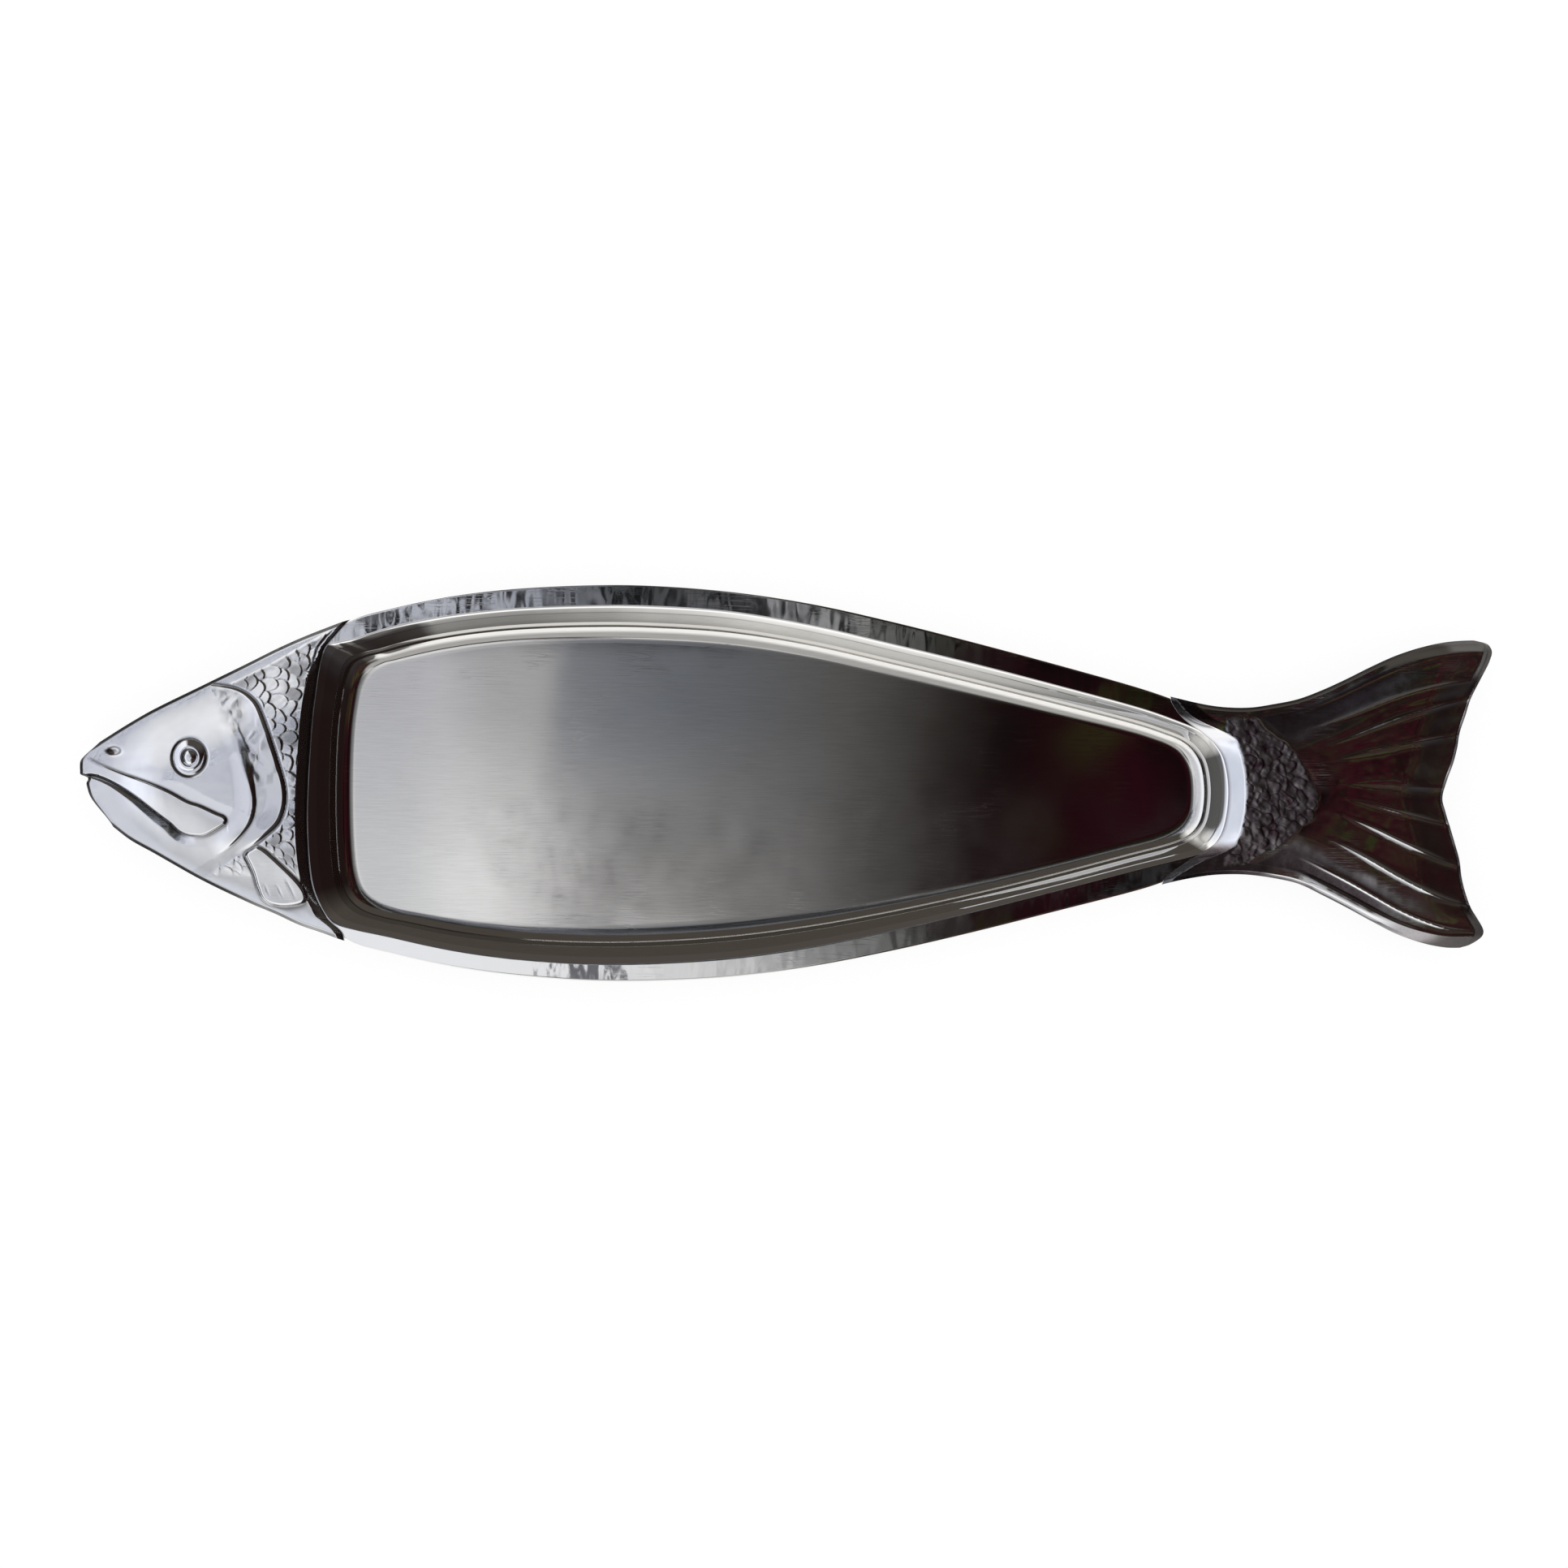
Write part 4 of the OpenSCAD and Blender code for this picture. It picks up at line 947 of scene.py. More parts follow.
def tail_shading(s, v, past, side, edge, lobe, ridges, worn):
    """Share of painted shade beside the scales: on the belly's edge apart from a bright stretch,
    over the flutes but not on their ridges, on the worn tip of the belly's lobe, and along the
    outline. It is painted dark reflection, which leaves only the stretch and the ridges bright."""
    bright = rise(s, 0.3, 0.08) * (1 - rise(s, 0.66, 0.1))
    low_rim = (v < 0.5) * rise_mm(side, 6.5, -2) * lerp(0.9, 0.6, rise(s, 0.4, 0.2))
    # Painted dark reflection in the flutes' hollows, left off their ridges.
    flute_shade = lerp(0.92, 0.2, rise_mm(side, 13, 8)) * rise_mm(past, 0.5, 3) * (1 - ridges)
    flute_shade = flute_shade * rise_mm(side, 3.5, 2) * (1 - lobe)
    # Painted shade along the outline.
    outline = 0.8 * ease(1.3 - edge / (1.3 * MM)) * (1 - lobe)
    return np.max([low_rim * (1 - bright), flute_shade, 0.55 * worn * lobe * (v < 0.5), outline], axis=0)


def tail_relief(x, y, s, v):
    """Relief over the tail's dome, with the shares of wear and painted shade: the scaled root, the
    flutes, the bead, and the lip that takes the chamfer's place round the lobes' tips."""
    root = open_curve(scaled(ROOT_SHARES, TAIL_L, BODY_W) + [TAIL_WELL_X, 0])
    past, _ = gap_to(root, x, y)
    low, high, tip = TAIL.sides(x, v)
    side = np.minimum(low, high)
    edge = np.minimum(side, tip)
    deep, place = flutes(s, v)
    grown = rise_mm(past, 8, 30) * rise(side, BEAD_W * 0.8, 2 * MM)
    lobe = rise(s, 0.6, 0.25) * rise(np.abs(v - 0.49), 0.32, 0.1)
    lip = lobe * (chamfer(side, tip) - LIP_SLOPE * np.maximum(0, TAIL_LIP_W - edge))
    scale, scale_dark, scaly = root_scales(x, y, v, past, side)
    relief = fluted(s, v, grown, deep, place) + bead(s, v, past, side) + lip + scale
    worn = rise(s, 0.8, 0.1) * lobe * rise(edge, TAIL_LIP_W + 0.4 * MM, -0.8 * MM)
    worn = np.maximum(worn, 0.52 * scaly)
    ridges = grown * rise(np.abs(2 * (place % 1) - 1), 0.72, 0.1) * (place > 0)
    dark = tail_shading(s, v, past, side, edge, lobe, ridges, worn)
    return relief, {"worn": worn, "dark": np.maximum(scale_dark, dark)}


def tail_height(x, s, v):
    """Height over the rim, with the shares of wear and painted shade. Relief and marks fade out on
    the slope, whose two ends are painted dark as shade."""
    y = lerp(belly_y(x), back_y(x), v)
    way = TAIL.slope_way(x, v)
    fade = rise(way, TAIL_SLOPE_RUN * 0.75, 2 * MM)
    waves = WAVE_H * lumps(x, y, TAIL_WAVE_L, 31)
    relief, marks = tail_relief(x, y, s, v)
    marks = {mark: value * fade for mark, value in marks.items()}
    # Painted shade at the two ends of the slope.
    ends = np.maximum(rise(v, 0.87, 0.05), 0.92 * rise(v, 0.22, -0.08))
    ends = ends * rise(way, TAIL_SLOPE_RUN * 1.7, -2 * MM)
    marks["dark"] = np.maximum(marks["dark"], ends)
    return TAIL.dome(x, v) + (relief + waves) * fade, marks


def casting_shell(casting, height, along, across, clockwise):
    """Closed shell: a grid of heights on top, a straight side down to the rim, a flat land and
    the hollow's roof, walked round in step with the grid's edge."""
    s, v = np.meshgrid(along, across, indexing="ij")
    x, y = casting.spot(s, v)
    heights, marks = height(x, s, v)
    top = np.stack([x, y, RIM_Z + heights], axis=-1)
    rows, files = s.shape
    ids = np.arange(rows * files).reshape(rows, files)
    a, b, c, d = ids[:-1, :-1], ids[:-1, 1:], ids[1:, 1:], ids[1:, :-1]
    quads = np.stack([a, b, c, d], axis=-1).reshape(-1, 4)
    rim = np.concatenate([ids[0, :-1], ids[:-1, -1], ids[-1, :0:-1], ids[:0:-1, 0]])
    at_s, at_v = s.ravel()[rim], v.ravel()[rim]
    edge = top.reshape(-1, 3)[rim]
    under = np.column_stack([edge[:, :2], np.full(len(rim), RIM_Z)])
    roof = [casting.hollow(lerp(at_s, 0.5, t), lerp(at_v, 0.5, t)) for t in ROOF_SHARES]
    land = np.column_stack([roof[0][:, :2], np.full(len(rim), RIM_Z)])
    peak = casting.hollow(np.array([0.5]), np.array([0.5]))
    n, grid = len(rim), rows * files
    rings = [rim] + [grid + k * n + np.arange(n) for k in range(2 + len(ROOF_SHARES))]
    points = np.vstack([top.reshape(-1, 3), under, land, *roof, peak])
    faces = quads.tolist()
    for upper, lower in zip(rings[:-1], rings[1:]):
        faces += np.stack([upper, lower, np.roll(lower, -1), np.roll(upper, -1)], axis=-1).tolist()
    faces += fan_faces(rings[-1], len(points) - 1)[:, ::-1].tolist()
    if clockwise:
        faces = [face[::-1] for face in faces]
    hidden = np.concatenate([np.zeros(grid + n), np.ones(len(points) - grid - n)])
    below = np.zeros(len(points) - grid)
    marks = {mark: np.append(values.ravel(), below) for mark, values in marks.items()}
    return points, faces, {"under": hidden, **marks}


def recess(points, rows, files):
    """How far each grid point lies below the mean of its neighbours, for painted shade in recesses.
    """
    z = points[:rows * files, 2].reshape(rows, files)
    pad = np.pad(z, RECESS_REACH, mode="edge")
    size = 2 * RECESS_REACH + 1
    total = np.cumsum(np.cumsum(np.pad(pad, ((1, 0), (1, 0))), axis=0), axis=1)
    mean = (total[size:, size:] - total[:-size, size:] - total[size:, :-size]
            + total[:-size, :-size]) / size ** 2
    low = np.zeros(len(points))
    low[:rows * files] = np.clip((mean - z).ravel() / RECESS_DEPTH, 0, 1)
    return low


def bosses(shares, well_x, length, outwards, casting):
    """Round bosses with blind holes that stand on the flange and end in the casting's roof."""
    shells = []
    for along, across in shares:
        x, y = well_x + outwards * along * length, across * BODY_W
        top = float(casting.dome(np.array([x]), share_across(np.array([x]), y))[0]) - CAST_WALL / 2
        profile = np.array([
            [0, BOSS_BORE_DEPTH], [BOSS_BORE_R, BOSS_BORE_DEPTH], [BOSS_BORE_R, BOSS_BEVEL],
            [BOSS_BORE_R + BOSS_BEVEL, 0], [BOSS_R - BOSS_BEVEL, 0], [BOSS_R, BOSS_BEVEL],
            [BOSS_R, top], [0, top]])
        points, faces = lathe(profile, [x, y, RIM_Z], BOSS_SIDES)
        shells.append((points, faces, {"recess": 0, "under": 1, "worn": 0, "dark": 0}))
    return shells


def eye_shell():
    """Eye: a ring with a sloped outer flank, a moat painted dark as shade, and the pupil's dome in
    its middle.
    """
    x, y = on_head([EYE_SHARE])[0]
    h = float(HEAD.dome(np.array([x]), share_across(np.array([x]), y))[0])
    profile = filleted(scaled(EYE_PROFILE, EYE_R, MM), EYE_FILLETS, EYE_STEPS)
    points, faces = lathe(profile, [x, y, RIM_Z + h], EYE_SIDES, EYE_NARROWING)
    depth = np.clip(1 - np.abs(profile[1:-1, 0] / EYE_R - MOAT_SHARE) / MOAT_HALF, 0, 1)
    moat = np.concatenate([np.repeat(depth, EYE_SIDES), [0, 0]])
    return points, faces, {"recess": moat, "under": 0, "worn": 0, "dark": moat * 0.9}


def make_casting(name, node, casting, height, slope_share, clockwise, extras, material):
    """Shell of a casting joined with its extras, on a grid that lies closer on the slope and at
    the edges."""
    along = spaced((0, slope_share, TIP_STOP, 1), ALONG_COUNTS)
    across = spaced(SIDE_STOPS, SIDE_COUNTS)
    points, faces, marks = casting_shell(casting, height, along, across, clockwise)
    marks["recess"] = recess(points, len(along), len(across))
    points, faces, marks = joined([(points, faces, marks)] + extras)
    return add_piece(name, points, faces, material, [node], marks)


# Materials

# Tints of the finishes: red, green, blue and 1
CAST_TINTS = (0.68, 0.692, 0.725, 1), (0.74, 0.748, 0.77, 1)
WORN_CAST = (0.5, 0.49, 0.46, 1)
# Painted shade tints, for the head and for the tail.
SHADE_TINTS = (0.034, 0.03, 0.034, 1), (0.062, 0.034, 0.046, 1)
RAW_CAST = (0.45, 0.45, 0.46, 1)
BRUSHED_TINTS = (0.62, 0.61, 0.595, 1), (0.72, 0.71, 0.695, 1)
HAZY_STEEL = (0.7, 0.7, 0.68, 1)
MIRROR_STEEL = (0.8, 0.8, 0.8, 1)
TURNED_TINTS = (0.55, 0.56, 0.58, 1), (0.66, 0.66, 0.66, 1)
DULL_ZINC = (0.5, 0.48, 0.44, 1)


class Nodes:
    """Short way to add and link the nodes of one tree."""

    def __init__(self, tree):
        self.tree = tree

    def add(self, kind, **values):
        """New node with values for its settings or its inputs."""
        node = self.tree.nodes.new(kind)
        for key, value in values.items():
            if hasattr(node, key):
                setattr(node, key, value)
            else:
                node.inputs[key.replace("_", " ")].default_value = value
        return node

    def link(self, out, into):
        """Link an output to an input."""
        self.tree.links.new(out, into)

    def fill(self, socket, value):
        """Give a socket a plain value, or link another node's output to it."""
        if isinstance(value, (int, float, tuple)):
            socket.default_value = value
        else:
            self.link(value, socket)

    def math(self, kind, a, b=0.0, clamp=False):
        """Two values joined by one operation."""
        node = self.add("ShaderNodeMath", operation=kind, use_clamp=clamp)
        for socket, value in zip(node.inputs, (a, b)):
            self.fill(socket, value)
        return node.outputs[0]

    def chain(self, kind, first, *others):
        """Values joined one after another by the same operation."""
        for value in others:
            first = self.math(kind, first, value)
        return first

    def plus(self, *values):
        """Sum of the values."""
        return self.chain("ADD", *values)

    def times(self, *values):
        """Product of the values."""
        return self.chain("MULTIPLY", *values)

    def most(self, *values):
        """Greatest of the values."""
        return self.chain("MAXIMUM", *values)

    def less(self, a, b, clamp=False):
        """First value less the second."""
        return self.math("SUBTRACT", a, b, clamp)

    def fit(self, value, low, high, to_low, to_high, smooth=False):
        """Value carried from one range to another."""
        node = self.add("ShaderNodeMapRange")
        node.interpolation_type = "SMOOTHSTEP" if smooth else "LINEAR"
        self.link(value, node.inputs["Value"])
        for name, number in (("From Min", low), ("From Max", high),
                             ("To Min", to_low), ("To Max", to_high)):
            node.inputs[name].default_value = number
        return node.outputs["Result"]

    def share(self, value, low, high, smooth=False):
        """Share of the way from low to high, from 0 to 1."""
        return self.fit(value, low, high, 0, 1, smooth)

    def mix(self, share, a, b):
        """Colour between a and b by the share."""
        node = self.add("ShaderNodeMix", data_type="RGBA")
        for name, kind, value in (("Factor", "VALUE", share), ("A", "RGBA", a), ("B", "RGBA", b)):
            self.fill(next(k for k in node.inputs if (k.name, k.type) == (name, kind)), value)
        return next(k for k in node.outputs if k.type == "RGBA")

    def brighter(self, colour, gain):
        """Colour multiplied by a value."""
        node = self.add("ShaderNodeVectorMath", operation="SCALE")
        self.link(colour, node.inputs[0])
        self.link(gain, node.inputs["Scale"])
        return node.outputs[0]

    def ramp(self, value, stops):
        """Colour by place between the stops, which are given as place, red, green and blue."""
        low, high = stops[0][0], stops[-1][0]
        node = self.add("ShaderNodeValToRGB")
        while len(node.color_ramp.elements) < len(stops):
            node.color_ramp.elements.new(0.5)
        for element, (at, *colour) in zip(node.color_ramp.elements, stops):
            element.position = (at - low) / (high - low)
            element.color = (*colour, 1)
        self.link(self.share(value, low, high), node.inputs["Fac"])
        return node.outputs["Color"]

    def noise(self, vector, scale, detail=2.0, rough=0.5, distortion=0.0):
        """Smooth noise at a place."""
        node = self.add("ShaderNodeTexNoise", Detail=detail, Roughness=rough,
                        Distortion=distortion)
        self.fill(node.inputs["Scale"], scale)
        self.link(vector, node.inputs["Vector"])
        return node.outputs["Fac"]

    def place(self, vector, scale, turn=0.0):
        """Place scaled along each way and turned about Z."""
        node = self.add("ShaderNodeMapping")
        node.inputs["Scale"].default_value = scale
        node.inputs["Rotation"].default_value = (0, 0, turn)
        self.link(vector, node.inputs["Vector"])
        return node.outputs["Vector"]

    def split(self, vector):
        """The three parts of a place."""
        node = self.add("ShaderNodeSeparateXYZ")
        self.link(vector, node.inputs[0])
        return node.outputs

    def mark(self, name):
        """Value that the mesh carries at each point under this name."""
        return self.add("ShaderNodeAttribute", attribute_name=name).outputs["Fac"]

    def object_place(self):
        """Place on the piece in its own coordinates."""
        return self.add("ShaderNodeTexCoord").outputs["Object"]

    def group(self, tree, scale):
        """Shared effect placed at a scale of its own."""
        node = self.add("ShaderNodeGroup", node_tree=tree)
        node.inputs["Scale"].default_value = scale
        return node.outputs[0]


def effect_group(name, inputs, output):
    """Empty node group with named float inputs, with their first values, and one output."""
    tree = bpy.data.node_groups.new(name, "ShaderNodeTree")
    for label, value in inputs.items():
        socket = tree.interface.new_socket(label, in_out="INPUT", socket_type="NodeSocketFloat")
        socket.default_value = value
    tree.interface.new_socket(output, in_out="OUTPUT", socket_type="NodeSocketFloat")
    out = tree.nodes.new("NodeGroupOutput").inputs[output]
    return tree, Nodes(tree), tree.nodes.new("NodeGroupInput").outputs, out


def hairlines_group():
    """Fine scratches in three directions: thin lines where stretched noise crosses its middle,
    in patches."""
    tree, n, given, out = effect_group("hairlines", {"Scale": 260.0, "Width": 0.012}, "Lines")
    place = n.object_place()
    lines = []
    for turn, share in ((0.2, 1.0), (1.15, 0.7), (-0.75, 0.8)):
        noise = n.noise(n.place(place, (0.16, 2.4, 1), turn), n.times(given["Scale"], share), 1.0)
        off = n.math("ABSOLUTE", n.less(noise, 0.5))
        lines.append(n.less(1.0, n.math("DIVIDE", off, given["Width"]), clamp=True))
    patch = n.share(n.noise(place, 34, 2), 0.5, 0.66)
    n.link(n.times(n.most(*lines), patch), out)
    return tree


def smudges_group():
    """Soft prints and polish haze: noise at two sizes, as a share from 0 to 1."""
    tree, n, given, out = effect_group("smudges", {"Scale": 30.0}, "Haze")
    place = n.object_place()
    big = n.noise(place, given["Scale"], 4.0, 0.6, 0.6)
    fine = n.noise(place, 420, 3)
    n.link(n.times(n.share(big, 0.42, 0.68), n.fit(fine, 0.3, 0.7, 0.6, 1)), out)
    return tree


HAIRLINES = hairlines_group()
SMUDGES = smudges_group()


def metal(name):
    """New material whose shader is plain metal, with its nodes, its shader's inputs and the
    place of a point on the piece."""
    material = bpy.data.materials.new(name)
    material.use_nodes = True
    n = Nodes(material.node_tree)
    inputs = material.node_tree.nodes["Principled BSDF"].inputs
    inputs["Metallic"].default_value = 1.0
    return material, n, inputs, n.object_place()


def bumped(n, inputs, height, strength, distance):
    """Tilt the shader's normals by the slope of a height that changes over the surface."""
    bump = n.add("ShaderNodeBump", Strength=strength, Distance=distance)
    n.link(height, bump.inputs["Height"])
    n.link(bump.outputs["Normal"], inputs["Normal"])


def cast_finish():
    """Mirror polished casting: bright on top with faint waves, haze and hairlines, painted dark in
    its recesses and along its marked lines and patches as painted shade, and rough as it left the
    mould underneath."""
    material, n, inputs, place = metal("polished_casting")
    low, under, worn = n.mark("recess"), n.mark("under"), n.mark("worn")
    haze, lines = n.group(SMUDGES, 26.0), n.group(HAIRLINES, 300.0)
    # Painted shade: the recesses and the dark mark darken the tint.
    dark = n.most(n.times(low, 0.7), n.mark("dark"))
    dark = n.times(dark, n.fit(n.noise(place, 700, 2), 0.3, 0.7, 0.93, 1))
    tint = n.mix(n.share(n.noise(place, 55, 3), 0.3, 0.7), *CAST_TINTS)
    tint = n.mix(n.times(worn, 0.9), tint, WORN_CAST)
    shade_tint = n.mix(n.share(n.split(place)[0], 0.2, 0.21), *SHADE_TINTS)
    tint = n.mix(under, n.mix(dark, tint, shade_tint), RAW_CAST)
    n.link(tint, inputs["Base Color"])
    rough = n.plus(n.fit(haze, 0, 1, 0.045, 0.1), n.times(lines, 0.08), n.times(dark, 0.15),
                   n.times(worn, worn, 0.5))
    n.link(n.most(rough, n.times(under, 0.5)), inputs["Roughness"])
    grit = n.times(n.noise(place, 900, 3), under, 0.8)
    height = n.plus(n.noise(place, 60, 2), n.times(lines, -0.02), grit)
    bumped(n, inputs, height, 0.35, 0.0006)
    return material


def steel_finish():
    """Stainless sheet: a mirror on the rim with long waves, and a satin well brushed lengthways,
    with cloudy haze, fine cross marks and a few deeper scratches."""
    material, n, inputs, place = metal("tray_stainless")
    satin = n.mark("satin")
    mirror = n.less(1.0, satin)
    haze, lines = n.group(SMUDGES, 14.0), n.group(HAIRLINES, 150.0)
    grain = n.noise(n.place(place, (0.035, 1, 1)), 2600, 3, 0.6)
    cross = n.noise(n.place(place, (1, 0.05, 1)), 900, 2, 0.6)
    cloud = n.noise(place, 12, 4, 0.6, 0.8)
    brushed = n.mix(n.share(grain, 0.3, 0.7), *BRUSHED_TINTS)
    brushed = n.mix(n.fit(cloud, 0.35, 0.7, 0, 0.5), brushed, HAZY_STEEL)
    n.link(n.mix(satin, MIRROR_STEEL, brushed), inputs["Base Color"])
    satin_rough = n.plus(n.fit(cloud, 0.35, 0.7, 0.02, 0.045),
                         n.fit(grain, 0.3, 0.7, -0.005, 0.01), n.times(lines, 0.05))
    mirror_rough = n.fit(haze, 0, 1, 0.01, 0.035)
    n.link(n.plus(n.times(satin, satin_rough), n.times(mirror, mirror_rough)), inputs["Roughness"])
    brush = n.times(n.plus(n.times(grain, 0.0016), n.times(cross, 0.0013)), satin)
    roll = n.times(n.noise(place, 30, 1), n.fit(satin, 0, 1, 0.2, 0.03))
    streaks = n.noise(n.place(place, (1, 0.35, 1), 0.35), 110, 1, 0.5)
    ripple = n.times(streaks, n.times(mirror, 0.12))
    height = n.plus(brush, roll, n.plus(ripple, n.times(lines, -0.006)))
    bumped(n, inputs, height, 0.3, 0.0006)
    return material


def fastener_finish():
    """Turned and plated steel: fine rings of noise and a little wear."""
    material, n, inputs, place = metal("fastener_zinc")
    haze, lines = n.group(SMUDGES, 90.0), n.group(HAIRLINES, 700.0)
    turned = n.noise(n.place(place, (0.3, 0.3, 6)), 1500, 2)
    tint = n.mix(n.share(turned, 0.3, 0.7), *TURNED_TINTS)
    n.link(n.mix(n.times(haze, 0.5), tint, DULL_ZINC), inputs["Base Color"])
    n.link(n.plus(n.fit(haze, 0, 1, 0.24, 0.4), n.times(lines, 0.1)), inputs["Roughness"])
    bumped(n, inputs, n.plus(turned, n.times(lines, -0.3)), 0.25, 0.0002)
    return material


# Studio

CAMERA_WAY = 2.0
CAMERA_REACH = 100.0
FRAME_W = 0.7786
SENSOR_W = 36.0
ROLL = np.radians(0.68)
AIM = (-0.0006, 0.0005)
FLOOR_HALF = 6.0
FLOOR_GREY = (0.22, 0.22, 0.22, 1)
FLOOR_GLOW = 0.84
WORLD_LIGHT = 0.8
WHITE = (1, 1, 1, 1)
TENT_R = 40.0
TENT_SIDES = 96
TENT_RINGS = 24
TENT_GAIN = 1.6


def seen_ray(n):
    """1 for rays from the camera, and from mirrors and glass, which show the background too."""
    path = n.add("ShaderNodeLightPath").outputs
    return n.most(*(path[f"Is {kind} Ray"] for kind in ("Camera", "Glossy", "Transmission")))


def set_world():
    """White to the camera and to mirrors, and a plain pale light for the rest."""
    world = bpy.data.worlds.new("studio")
    bpy.context.scene.world = world
    world.use_nodes = True
    n = Nodes(world.node_tree)
    ground = world.node_tree.nodes["Background"]
    n.link(n.fit(seen_ray(n), 0, 1, WORLD_LIGHT, 1), ground.inputs["Strength"])
    ground.inputs["Color"].default_value = WHITE


def bare_material(name):
    """New material without a shader, with its nodes and the socket of its surface."""
    material = bpy.data.materials.new(name)
    material.use_nodes = True
    tree = material.node_tree
    tree.nodes.remove(tree.nodes["Principled BSDF"])
    return material, Nodes(tree), tree.nodes["Material Output"].inputs["Surface"]


def flat_stage(name, points, faces, material):
    """Unsmoothed mesh that belongs to the stage and not to the object."""
    mesh = bpy.data.meshes.new(name)
    mesh.from_pydata(points, [], faces)
    mesh.materials.append(material)
    thing = bpy.data.objects.new(name, mesh)
    bpy.context.scene.collection.objects.link(thing)
    return thing


def make_floor():
    """Plain white floor that keeps a faint shadow."""
    material, n, surface = bare_material("floor_white")
    matt = n.add("ShaderNodeBsdfDiffuse", Color=FLOOR_GREY)
    glow = n.add("ShaderNodeEmission", Color=WHITE)
    n.link(n.times(seen_ray(n), FLOOR_GLOW), glow.inputs["Strength"])
    both = n.add("ShaderNodeAddShader")
    for shader, socket in zip((matt, glow), both.inputs):
        n.link(shader.outputs[0], socket)
    n.link(both.outputs[0], surface)
    r = FLOOR_HALF
    flat_stage("floor", [(-r, -r, 0), (r, -r, 0), (r, r, 0), (-r, r, 0)], [(0, 1, 2, 3)], material)
# What level mirrors see, from the head's side to the tail's, over the back's rim, the back's
# half of the floor, the belly's half and the belly's rim: place, red, green, blue
OVER_STOPS = [
    (-0.13, 0.36, 0.37, 0.41), (-0.11, 0.17, 0.175, 0.195), (-0.055, 0.105, 0.11, 0.125),
    (-0.042, 0.028, 0.029, 0.031), (-0.002, 0.03, 0.03, 0.032), (0.006, 0.12, 0.12, 0.125),
    (0.027, 0.07, 0.07, 0.068), (0.043, 0.013, 0.013, 0.011), (0.08, 0.007, 0.007, 0.006)]
BACK_STOPS = [
    (-0.25, 0.52, 0.53, 0.58), (-0.17, 0.42, 0.43, 0.47), (-0.1, 0.38, 0.385, 0.42),
    (-0.09, 0.42, 0.42, 0.45), (-0.076, 0.32, 0.32, 0.33), (-0.064, 0.33, 0.33, 0.335),
    (-0.057, 0.165, 0.172, 0.192), (-0.03, 0.115, 0.123, 0.14), (0.0166, 0.072, 0.07, 0.068),
    (0.041, 0.023, 0.02, 0.019), (0.053, 0.008, 0.005, 0.005), (0.065, 0.003, 0.002, 0.002)]
BELLY_STOPS = [
    (-0.25, 0.52, 0.53, 0.57), (-0.17, 0.43, 0.44, 0.475), (-0.1, 0.49, 0.5, 0.52),
    (-0.08, 0.62, 0.63, 0.64), (-0.066, 0.52, 0.52, 0.53), (-0.052, 0.33, 0.33, 0.335),
    (-0.02, 0.19, 0.188, 0.188), (0.0045, 0.125, 0.123, 0.125), (0.0166, 0.075, 0.073, 0.073),
    (0.041, 0.024, 0.02, 0.02), (0.053, 0.008, 0.005, 0.005), (0.065, 0.003, 0.002, 0.002)]
UNDER_STOPS = [
    (-0.25, 0.52, 0.53, 0.56), (-0.1, 0.6, 0.61, 0.63), (-0.062, 0.59, 0.59, 0.6),
    (-0.059, 0.09, 0.09, 0.1), (-0.0465, 0.11, 0.11, 0.12), (-0.044, 0.55, 0.55, 0.56),
    (-0.015, 0.42, 0.42, 0.42), (0.007, 0.2, 0.2, 0.2), (0.027, 0.09, 0.09, 0.088),
    (0.038, 0.02, 0.02, 0.018), (0.06, 0.007, 0.006, 0.006)]
# What slopes see towards the head and towards the belly, from the horizon to overhead
WEST_STOPS = [
    (0, 0.01, 0.01, 0.01), (0.15, 0.018, 0.017, 0.016), (0.2, 0.055, 0.055, 0.055),
    (0.43, 0.085, 0.085, 0.085), (0.455, 0.52, 0.54, 0.6), (0.56, 0.6, 0.62, 0.68),
    (0.66, 0.79, 0.81, 0.87), (0.74, 0.8, 0.82, 0.88), (0.84, 0.57, 0.58, 0.62),
    (0.93, 0.5, 0.51, 0.545)]
SOUTH_STOPS = [
    (0, 0.02, 0.02, 0.02), (0.09, 0.13, 0.13, 0.127), (0.13, 0.19, 0.188, 0.182),
    (0.2, 0.24, 0.236, 0.228), (0.264, 0.33, 0.325, 0.315), (0.33, 0.42, 0.415, 0.4),
    (0.37, 0.85, 0.84, 0.82), (0.76, 0.8, 0.79, 0.78), (0.86, 0.5, 0.5, 0.49),
    (0.91, 0.34, 0.335, 0.33)]


# Tints of what the tent shows beyond its ramps: red, green, blue and 1
DARK_FIELDS = (0.024, 0.006, 0.01, 1), (0.024, 0.034, 0.009, 1)
PALE_FIELD = (0.34, 0.335, 0.33, 1)
STRAND = (0.05, 0.05, 0.05, 1)
RED_SPOTS = (0.02, 0.003, 0.006, 1), (0.035, 0.004, 0.009, 1)
GREEN_SPOTS = (0.022, 0.026, 0.007, 1), (0.034, 0.042, 0.012, 1)
SHUT_SIDES = (0.011, 0.0065, 0.006, 1), (0.055, 0.048, 0.041, 1)


def strands(n, flat):
    """Share of fine crossing strands: lines where stretched noise crosses its middle."""
    lines = []
    for turn, scale in ((0.5, 46), (-0.6, 70)):
        field = n.noise(n.place(flat, (1, 0.55, 1), turn), scale, 3, 0.55, 1.2)
        lines.append(n.fit(n.math("ABSOLUTE", n.less(field, 0.5)), 0.0, 0.026, 1, 0, True))
    return n.most(*lines)


